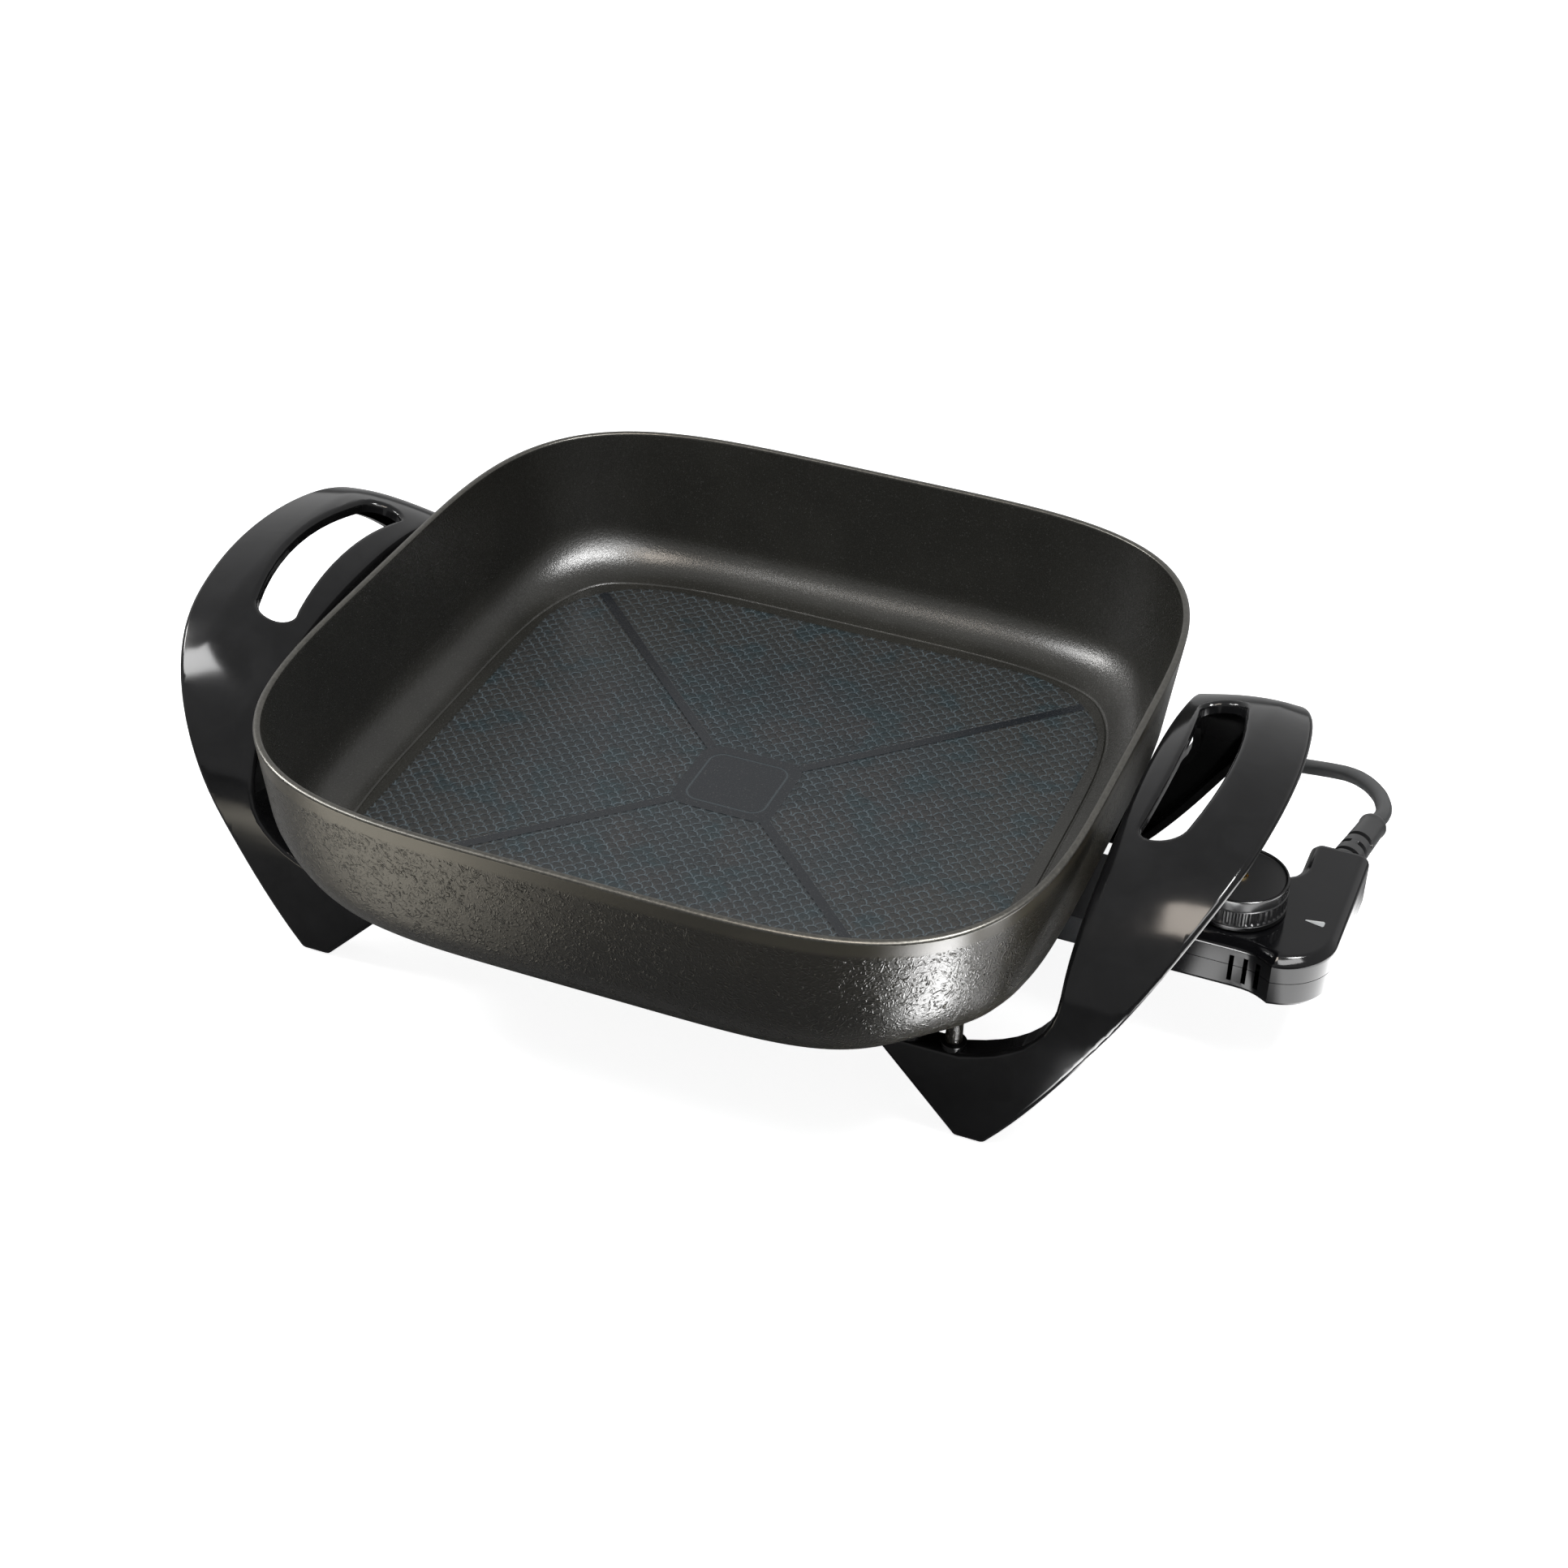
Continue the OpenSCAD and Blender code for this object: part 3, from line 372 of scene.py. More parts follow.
def wrinkled_casting(pan):
    """Outside of the pan: crinkled enamel over the casting, smooth in a band under the rim, with painted
    highlights on its crinkles and painted shade in their hollows and towards the bottom.
    """
    base = tuple(pan.casting)
    f = Finish("wrinkle_enamel", base, 0.3, Specular_IOR_Level=0.21)
    _, _, z = f.point.split()
    strands = f.node(
        "ShaderNodeTexNoise",
        {"noise_type": "RIDGED_MULTIFRACTAL", "normalize": True},
        {"Vector": f.point, "Scale": 1 / 3.0, "Detail": 2.0, "Roughness": 0.55, "Distortion": 2.0},
    )
    below = z.fade(*BAND_STARTS)
    fine = f.noise(0.6, 3, 0.6)
    f.bump(strands * below, 0.42)
    f.bump(fine, 0.02)
    cloud = f.noise(26, 3)
    # painted shade: browner and lighter just under the smooth band, darkening to nearly black at the turn to
    # the underside
    light = z.step(*PAINTED_SHADE_HEIGHTS)
    colour = f.mix(light * light, shade(base, 0.06), base)
    colour = f.mix(cloud.step(0.3, 0.7) * 0.45, colour, shade(base, 0.35))
    # painted shade in the hollows between the crinkles
    colour = f.mix(strands.step(0.42, 0.6, 0.75, 0.0) * below, colour, shade(base, 0.12))
    # painted highlight on the ridges of the crinkles, stronger higher up
    colour = f.mix(strands.step(0.6, 0.85) * below * light * 0.8, colour, shade(base, 3.2))
    f.set("Base Color", colour)
    f.set("Roughness", 0.27 + (fine - 0.5) * 0.14 + cloud * 0.1)
    return f.material


def rubbed_lip(pan):
    """Machined top edge of the rim."""
    color = tuple(pan.lip)
    f = Finish("rubbed_rim", color, 0.3, 0.5)
    marks = f.noise(1.4, 4, 0.65)
    f.drift(marks, color, 0.6, 1.0, 0.35)
    f.set("Roughness", 0.24 + marks * 0.18)
    f.bump(marks, 0.03)
    return f.material


# ---------------------------------------------------------------- shapes


def arc(cx, cy, r, start, end, steps):
    """Points on an arc from one angle to another, in degrees."""
    angles = [math.radians(start + (end - start) * i / steps) for i in range(steps + 1)]
    return [(cx + r * math.cos(a), cy + r * math.sin(a)) for a in angles]


def cubic(p0, p1, p2, p3, steps):
    """Points on a cubic curve."""
    out = []
    for i in range(steps + 1):
        t = i / steps
        u = 1 - t
        k = (u * u * u, 3 * u * u * t, 3 * u * t * t, t * t * t)
        out.append(tuple(sum(w * p[c] for w, p in zip(k, (p0, p1, p2, p3))) for c in (0, 1)))
    return out


def rounded_corner(before, corner, after, r, steps):
    """Points that round one corner of an outline."""
    c = Vector(corner)
    a, b = (Vector(before) - c).normalized(), (Vector(after) - c).normalized()
    half = a.angle(b) / 2
    middle = (a + b).normalized()
    centre = c + middle * (r / math.sin(half))
    start, end = c + a * (r / math.tan(half)) - centre, c + b * (r / math.tan(half)) - centre
    turn = start.angle_signed(end)
    return [tuple(centre + Matrix.Rotation(-turn * i / steps, 2) @ start) for i in range(steps + 1)]


def linked(name, bm):
    """An object in the scene, made of a bmesh."""
    mesh = bpy.data.meshes.new(name)
    bm.to_mesh(mesh)
    bm.free()
    made = bpy.data.objects.new(name, mesh)
    bpy.context.scene.collection.objects.link(made)
    return made


def even_normals(piece, sharp):
    """Shades a piece smoothly, up to an angle in degrees, with its broad faces kept even."""
    piece.data.shade_smooth()
    piece.data.set_sharp_from_angle(angle=math.radians(sharp))
    piece.modifiers.new("even_normals", "WEIGHTED_NORMAL").keep_sharp = True


def finished(name, bm, materials, body, node, sharp=32, recalc=True):
    """Makes a piece of a bmesh drawn in millimetres, puts it on its body and hides its node."""
    bmesh.ops.remove_doubles(bm, verts=bm.verts, dist=0.0005)
    if recalc:
        bmesh.ops.recalc_face_normals(bm, faces=bm.faces)
    bmesh.ops.transform(bm, matrix=TO_FRAME, verts=bm.verts)
    piece = linked(name, bm)
    for material in materials:
        piece.data.materials.append(material)
    even_normals(piece, sharp)
    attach(piece, body)
    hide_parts(node)
    return piece


def verts_in(geom):
    return [g for g in geom if isinstance(g, bmesh.types.BMVert)]


def loop_of(bm, points):
    """A closed loop of edges through points."""
    verts = [bm.verts.new(tuple(p) if len(p) == 3 else (p[0], p[1], 0)) for p in points]
    return [bm.edges.new((verts[i - 1], verts[i])) for i in range(len(verts))]


def next_ring(bm, ring):
    """Extrudes a ring of edges, and gives the verts and edges of the new ring."""
    made = bmesh.ops.extrude_edge_only(bm, edges=ring)["geom"]
    fresh = verts_in(made)
    known = set(fresh)
    return fresh, [g for g in made if isinstance(g, bmesh.types.BMEdge) and known.issuperset(g.verts)]


def spun(bm, profile, steps, closed=True):
    """Turns a profile of (radius, height) points about Z."""
    verts = [bm.verts.new((r, 0, h)) for r, h in profile]
    pairs = zip(verts, verts[1:] + verts[:1] if closed else verts[1:])
    edges = [bm.edges.new(pair) for pair in pairs]
    bmesh.ops.spin(
        bm,
        geom=verts + edges,
        cent=(0, 0, 0),
        axis=(0, 0, 1),
        angle=2 * math.pi,
        steps=steps,
        use_merge=True,
    )
    bmesh.ops.remove_doubles(bm, verts=bm.verts, dist=0.0005)


def moulding(bm, outline, holes, height, skin, wall, radius, turns, hole_depth=None):
    """A shell open underneath, from 0 up to height, with its upper edge rounded in turns of some degrees.

    The walls round its holes may be shallower than the outer wall."""
    edges = loop_of(bm, outline)
    for hole in holes:
        edges += loop_of(bm, hole)
    bmesh.ops.triangle_fill(bm, use_beauty=True, use_dissolve=False, edges=edges, normal=(0, 0, 1))
    top = list(bm.faces)
    made = bmesh.ops.extrude_face_region(bm, geom=top, use_keep_orig=True)["geom"]
    sunk = set(verts_in(made))
    under = [f for f in bm.faces if sunk.issuperset(f.verts)]
    bmesh.ops.translate(bm, vec=(0, 0, height - radius), verts=list({v for f in top for v in f.verts}))
    bmesh.ops.recalc_face_normals(bm, faces=bm.faces)
    bmesh.ops.inset_region(bm, faces=under, thickness=wall, use_boundary=True, use_even_offset=True)
    made = bmesh.ops.extrude_face_region(bm, geom=under)["geom"]
    bmesh.ops.delete(bm, geom=under, context="FACES_ONLY")
    bmesh.ops.translate(bm, vec=(0, 0, height - skin), verts=verts_in(made))
    if hole_depth:
        spots = [Vector(p) for hole in holes for p in hole]
        for vert in bm.verts:
            if vert.co.z < 0.01 and min((vert.co.xy - p).length for p in spots) < 1.6 * wall:
                vert.co.z = height - hole_depth
    for a, b in zip(turns, turns[1:]):
        a, b = math.radians(a), math.radians(b)
        bmesh.ops.inset_region(
            bm,
            faces=top,
            thickness=radius * (math.cos(a) - math.cos(b)),
            depth=radius * (math.sin(b) - math.sin(a)),
            use_boundary=True,
            use_even_offset=True,
        )
    bmesh.ops.delete(bm, geom=[e for e in bm.edges if e.is_wire], context="EDGES")


def swept(bm, section, path):
    """Draws a closed section of (sideways, up) points along a level path."""
    path = [Vector(p) for p in path]

    def spots(i):
        ahead = (path[min(i + 1, len(path) - 1)] - path[max(i - 1, 0)]).normalized()
        side = ahead.cross((0, 0, 1)).normalized()
        top = side.cross(ahead)
        turn = 1.0
        if 0 < i < len(path) - 1:
            turn = 1 / max(0.5, ahead.dot((path[i + 1] - path[i]).normalized()))
        return [path[i] + side * (a * turn) + top * b for a, b in section]

    ring = loop_of(bm, spots(0))
    bmesh.ops.contextual_create(bm, geom=ring)
    for i in range(1, len(path)):
        fresh, ring = next_ring(bm, ring)
        old, new = spots(i - 1), spots(i)
        for vert in fresh:
            k = min(range(len(old)), key=lambda j: (old[j] - vert.co).length_squared)
            vert.co = new[k]
    bmesh.ops.contextual_create(bm, geom=ring)


def knob(bm, centre, radius, low, high, soft=0.4):
    """A round post with softened ends."""
    made = bmesh.ops.create_cone(
        bm,
        cap_ends=True,
        segments=40,
        radius1=radius,
        radius2=radius,
        depth=high - low,
        matrix=Matrix.Translation((*centre, (low + high) / 2)),
    )["verts"]
    ends = list({e for v in made for e in v.link_edges if abs(e.verts[0].co.z - e.verts[1].co.z) < 1e-4})
    bevelled(bm, ends, soft, 2)


def block(bm, middle, size):
    """A box. Gives its verts."""
    matrix = Matrix.Translation(middle) @ Matrix.Diagonal((*size, 1))
    return bmesh.ops.create_cube(bm, size=1.0, matrix=matrix)["verts"]


def bevelled(bm, edges, offset, segments):
    bmesh.ops.bevel(
        bm,
        geom=edges,
        offset=offset,
        segments=segments,
        profile=0.5,
        affect="EDGES",
        material=-1,
        clamp_overlap=True,
    )


# ---------------------------------------------------------------- settings


class PanSettings(bpy.types.PropertyGroup):
    half_width: FloatProperty(
        name="Half width", description="From the middle of the pan to its rim", default=0.175, unit="LENGTH"
    )
    rim_height: FloatProperty(
        name="Rim height", description="From the table to the rim", default=0.128, unit="LENGTH"
    )
    scale_pitch: FloatProperty(
        name="Scale pitch",
        description="Width of one scale of the cooking floor",
        default=0.0062,
        unit="LENGTH",
    )
    ring_points: IntProperty(name="Points round the rim", description="Smoothness of the rim", default=288)
    coating: FloatVectorProperty(
        name="Coating",
        description="Colour of the coated wall",
        default=(0.0165, 0.016, 0.0135),
        subtype="COLOR",
    )
    floor_tint: FloatVectorProperty(
        name="Floor",
        description="Colour of the coated floor",
        default=(0.0165, 0.0215, 0.0245),
        subtype="COLOR",
    )
    casting: FloatVectorProperty(
        name="Casting", description="Colour of the outside", default=(0.05, 0.044, 0.03), subtype="COLOR"
    )
    lip: FloatVectorProperty(
        name="Lip", description="Colour of the bare rim", default=(0.062, 0.059, 0.05), subtype="COLOR"
    )


class HandleSettings(bpy.types.PropertyGroup):
    edge_radius: FloatProperty(
        name="Edge radius", description="Rounding of the upper edges", default=0.0024, unit="LENGTH"
    )
    crown: FloatProperty(
        name="Crown radius", description="Sideways rounding of the grip", default=0.074, unit="LENGTH"
    )
    lean: FloatProperty(
        name="Lean", description="How far the outer wall leans in, per unit of depth", default=0.62
    )
    colour: FloatVectorProperty(
        name="Colour", description="Colour of the plastic", default=(0.0085, 0.0085, 0.009), subtype="COLOR"
    )
    roughness: FloatProperty(
        name="Roughness", description="Gloss of the plastic", default=0.13, subtype="FACTOR"
    )


class ControllerSettings(bpy.types.PropertyGroup):
    edge_radius: FloatProperty(
        name="Edge radius", description="Rounding of the cover's upper edge", default=0.0046, unit="LENGTH"
    )
    ribs: IntProperty(name="Ribs", description="Grip ribs round the dial", default=48)
    colour: FloatVectorProperty(
        name="Colour", description="Colour of the case", default=(0.006, 0.006, 0.007), subtype="COLOR"
    )
    dial_colour: FloatVectorProperty(
        name="Dial colour", description="Colour of the dial", default=(0.008, 0.008, 0.0085), subtype="COLOR"
    )


class CordSettings(bpy.types.PropertyGroup):
    diameter: FloatProperty(
        name="Diameter", description="Thickness of the cord", default=0.0072, unit="LENGTH"
    )
    colour: FloatVectorProperty(
        name="Colour", description="Colour of the cord", default=(0.021, 0.0225, 0.0235), subtype="COLOR"
    )


class StageSettings(bpy.types.PropertyGroup):
    floor_colour: FloatVectorProperty(
        name="Floor colour", description="Colour of the floor", default=(0.8, 0.8, 0.8), subtype="COLOR"
    )
    key_power: FloatProperty(name="Key light", description="Power of the main light in watts", default=13.0)
    side_power: FloatProperty(
        name="Side lights", description="Power of each side light in watts", default=3.0
    )
    gloss: FloatProperty(
        name="Gloss", description="Strength of the cards that show only in gloss", default=1.0
    )
    card: FloatProperty(
        name="Card", description="Glow of the cards on the floor, in reflections", default=4.0
    )


# ---------------------------------------------------------------- stage

# The camera is turned about the pan, raised and rolled by angles in degrees.
CAMERA_TURN, CAMERA_RISE, CAMERA_ROLL = 20.894, 35.131, 1.868
CAMERA_SPOT = (0.35535, -0.9104, 0.7506)
CAMERA_LENS = 62.48

# Lamps in metres: name, place, target, width and depth
LAMPS = (
    ("key", (-0.2, -0.3, 1.4), (0.0, 0.0, 0.1), (1.1, 0.6)),
    ("right", (0.58, -0.1, 0.99), (0.0, 0.0, 0.08), (0.3, 0.26)),
    ("left", (-0.87, -0.14, 0.68), (0.0, 0.0, 0.08), (0.26, 0.2)),
)

# Cards that show only in the gloss of the pieces: name, place, width and depth, glow, share of blue
GLOSS_CARDS = (
    ("card_leg_right", (0.12, -0.62, 1.21), (0.47, 0.42), 28.0, 0.8),
    ("card_leg_left", (-0.86, -0.5, 1.06), (0.34, 0.38), 38.0, 1.0),
    ("card_corner", (0.58, -0.1, 0.99), (0.3, 0.26), 100.0, 1.0),
    ("card_rear", (-0.87, -0.14, 0.68), (0.26, 0.2), 62.0, 0.97),
    ("card_nose", (0.73, -0.62, 0.98), (0.8, 0.36), 20.0, 1.0),
)

# Bright patches of the floor that show only in reflections, in millimetres. Each has four soft
# edges: left, right, near and far.
BESIDE_CASE = ((258, 285), (620, 700), (-150, -115), (40, 120))
UNDER_STEM = ((202, 210), (216, 226), (-125, -95), (-70, -50))
BY_CORNER = ((165, 200), (266, 282), (-250, -160), (-150, -138))
BEFORE_LEG = ((-340, -240), (-150, -30), (-350, -290), (-235, -185))


class SKILLET_OT_stage(bpy.types.Operator):
    """Camera, floor, lights and surroundings"""

    bl_idname = "skillet.stage"
    bl_label = "Stage"

    def execute(self, context):
        stage = context.scene.skillet_stage
        self.camera(context.scene)
        self.floor(stage)
        self.surroundings(context.scene)
        for name, spot, aim, size in LAMPS:
            power = stage.key_power if name == "key" else stage.side_power
            self.lamp(context.scene, name, spot, aim, size, power)
        for name, spot, size, glow, blue in GLOSS_CARDS:
            self.card(name, spot, size, glow * stage.gloss, blue)
        context.scene.view_settings.view_transform = "Standard"
        return {"FINISHED"}

    @staticmethod
    def camera(scene):
        """Camera above the near right corner of the pan."""
        turn, rise, roll = (math.radians(a) for a in (CAMERA_TURN, CAMERA_RISE, CAMERA_ROLL))
        back = Vector((math.sin(turn) * math.cos(rise), -math.cos(turn) * math.cos(rise), math.sin(rise)))
        level = Vector((math.cos(turn), math.sin(turn), 0))
        upright = back.cross(level)
        right = math.cos(roll) * level + math.sin(roll) * upright
        up = math.cos(roll) * upright - math.sin(roll) * level
        data = bpy.data.cameras.new("camera")
        data.lens, data.sensor_width = CAMERA_LENS, 36.0
        data.clip_start, data.clip_end = 0.05, 20
        camera = bpy.data.objects.new("camera", data)
        facing = Matrix((right, up, back)).transposed().to_4x4()
        camera.matrix_world = Matrix.Translation(CAMERA_SPOT) @ facing
        scene.collection.objects.link(camera)
        scene.camera = camera

    def floor(self, stage):
        """Pale floor, with bright patches that show only in reflections."""
        bm = bmesh.new()
        bmesh.ops.create_grid(bm, x_segments=2, y_segments=2, size=4.0)
        floor = linked("floor", bm)
        floor.location.z = -0.0004
        pale = tuple(stage.floor_colour)
        f = Finish("pale_floor", pale, 0.9, Specular_IOR_Level=0.0)
        seen = self.seen(f.tree)
        reflected = f.node("ShaderNodeLightPath", None, None, "Is Glossy Ray")
        beside = self.patch(f, BESIDE_CASE) + self.patch(f, UNDER_STEM)
        patches = (beside * 2.4 + self.patch(f, BY_CORNER) * 12.5) * stage.card
        white = f.mix(seen * 0.9 + reflected * (patches - 0.88), (0, 0, 0), (1, 1, 1))
        warm = reflected * self.patch(f, BEFORE_LEG) * stage.card * 1.5
        f.set("Emission Color", f.mix(warm, white, (1.0, 0.93, 0.78), "ADD"))
        f.set("Base Color", f.mix(reflected, pale, shade(pale, 0.6)))
        f.set("Emission Strength", 1.0)
        f.material.cycles.emission_sampling = "NONE"
        floor.data.materials.append(f.material)

    @staticmethod
    def patch(f, edges):
        """1 within four soft edges, and 0 beyond them."""
        x, y, _ = f.point.split()
        left, right, near, far = edges
        return x.step(*left) * x.fade(*right) * y.step(*near) * y.fade(*far)

    def surroundings(self, scene):
        """White surroundings that light the pieces only dimly."""
        world = bpy.data.worlds.new("surroundings")
        scene.world = world
        world.use_nodes = True
        tree = world.node_tree
        tree.nodes.clear()
        lit = add_node(tree, "ShaderNodeBackground", None, {"Color": (1, 1, 1, 1), "Strength": 1.0})
        dim = add_node(tree, "ShaderNodeBackground", None, {"Color": (0.97, 0.985, 1, 1), "Strength": 0.15})
        mixed = add_node(tree, "ShaderNodeMixShader", None, {0: self.seen(tree), 1: dim, 2: lit})
        output = tree.nodes.new("ShaderNodeOutputWorld")
        tree.links.new(mixed.socket, output.inputs["Surface"])

    @staticmethod
    def seen(tree):
        """1 for rays from the camera, in reflections and through clear pieces."""
        path = add_node(tree, "ShaderNodeLightPath", None, None, "Is Camera Ray")
        outs = path.socket.node.outputs
        glossy, clear = Socket(tree, outs["Is Glossy Ray"]), Socket(tree, outs["Is Transmission Ray"])
        return path.most(glossy).most(clear)

    @staticmethod
    def lamp(scene, name, spot, aim, size, power):
        """A lamp that points at a spot. The key lamp doesn't show in gloss."""
        light = bpy.data.lights.new(name, "AREA")
        light.shape = "RECTANGLE"
        light.size, light.size_y = size
        light.energy = power
        lamp = bpy.data.objects.new(name, light)
        lamp.location = spot
        lamp.rotation_euler = (Vector(aim) - Vector(spot)).to_track_quat("-Z", "Y").to_euler()
        lamp.visible_glossy = name != "key"
        scene.collection.objects.link(lamp)

    @staticmethod
    def card(name, spot, size, glow, blue):
        """A bright card that faces the pan and shows only in gloss."""
        bm = bmesh.new()
        bmesh.ops.create_grid(bm, x_segments=1, y_segments=1, size=0.5)
        turn = (-Vector(spot)).to_track_quat("Z", "Y").to_matrix().to_4x4()
        matrix = Matrix.Translation(spot) @ turn @ Matrix.Diagonal((*size, 1, 1))
        bmesh.ops.transform(bm, matrix=matrix, verts=bm.verts)
        card = linked(name, bm)
        card.visible_camera = card.visible_diffuse = card.visible_shadow = card.visible_transmission = False
        f = Finish(name, (0, 0, 0), 1.0, Specular_IOR_Level=0.0)
        f.set("Emission Color", (1, (1 + blue) / 2, blue, 1))
        f.set("Emission Strength", glow)
        card.data.materials.append(f.material)


# ---------------------------------------------------------------- cord

RELIEF_ROOT = (257.75, 58.0, 50.5)
RELIEF_ANGLE = 10.0
RELIEF_LENGTH = 40.0
LEAD = [
    (264.9, 97.4, 50.5), (266.5, 109, 49), (264, 122, 46), (258.5, 137, 41),
    (251, 151.5, 35), (243, 164.5, 28), (234.5, 176.5, 20), (225, 186, 13),
    (214, 192, 8), (201.5, 195, 4.8), (188.5, 193, 3.8), (176.5, 185.5, 3.8),
    (165, 174.5, 3.8), (152.5, 163.5, 3.8), (138.5, 154.5, 3.8), (122, 149.5, 3.8),
    (106, 150, 3.8), (91.5, 156, 3.8), (79.5, 166.5, 3.8), (72, 180.5, 4),
    (68, 196, 4.4), (66.8, 212, 4.4),
]
TAIL = [
    (6, 274.9, 10.8), (-8, 273.9, 8.6), (-21, 270.6, 6.2),
    (-34, 265.5, 4.6), (-46.5, 259.8, 3.9), (-59.5, 255.6, 4.4), (-73, 254, 6.3),
]
# The coil: inwards on the table up to one angle, then outwards on top of that up to another
COIL_CENTRE = (20.0, 228.0)
COIL_DEGREES = (750, 1530)
COIL_RADII = (46.4, 31.3)
COIL_PITCHES = (7.25, 7.2)
COIL_LOW, COIL_RISE = 4.4, 7.2
TIE_RADIUS = 39.6
# The plug lies on the edge of its face, at a distance from its cord end.
PLUG_TILT = 21.5
PLUG_RADIUS = 18.5
PLUG_EDGE = 30


def cord_route():
    """Points of the cord from the case to the plug, in millimetres."""
    turn = math.radians(RELIEF_ANGLE)
    out = Vector((math.sin(turn), math.cos(turn), 0))
    route = [Vector(RELIEF_ROOT) + out * (RELIEF_LENGTH * i / 3) for i in range(3)]
    route += [Vector(p) for p in LEAD]
    for degrees in range(0, COIL_DEGREES[1] + 1, 20):
        over = degrees - COIL_DEGREES[0]
        if over <= 0:
            r, z = COIL_RADII[0] - COIL_PITCHES[0] * degrees / 360, COIL_LOW
        else:
            r, z = COIL_RADII[1] + COIL_PITCHES[1] * over / 360, COIL_LOW + COIL_RISE * ease(over / 60)
        a = math.radians(degrees)
        route.append(Vector((COIL_CENTRE[0] + r * math.cos(a), COIL_CENTRE[1] + r * math.sin(a), z)))
    return route + [Vector(p) for p in TAIL]


def plug_place():
    """From a drawing along +Z, cord end at 0, to where the plug lies."""
    tilt = math.radians(PLUG_TILT)
    height = PLUG_RADIUS * math.cos(tilt) - PLUG_EDGE * math.sin(tilt) + 0.1
    return (
        Matrix.Translation((*TAIL[-1][:2], height))
        @ Matrix.Rotation(-math.pi / 2, 4, "Z")
        @ Matrix.Rotation(math.pi / 2 - tilt, 4, "X")
    )


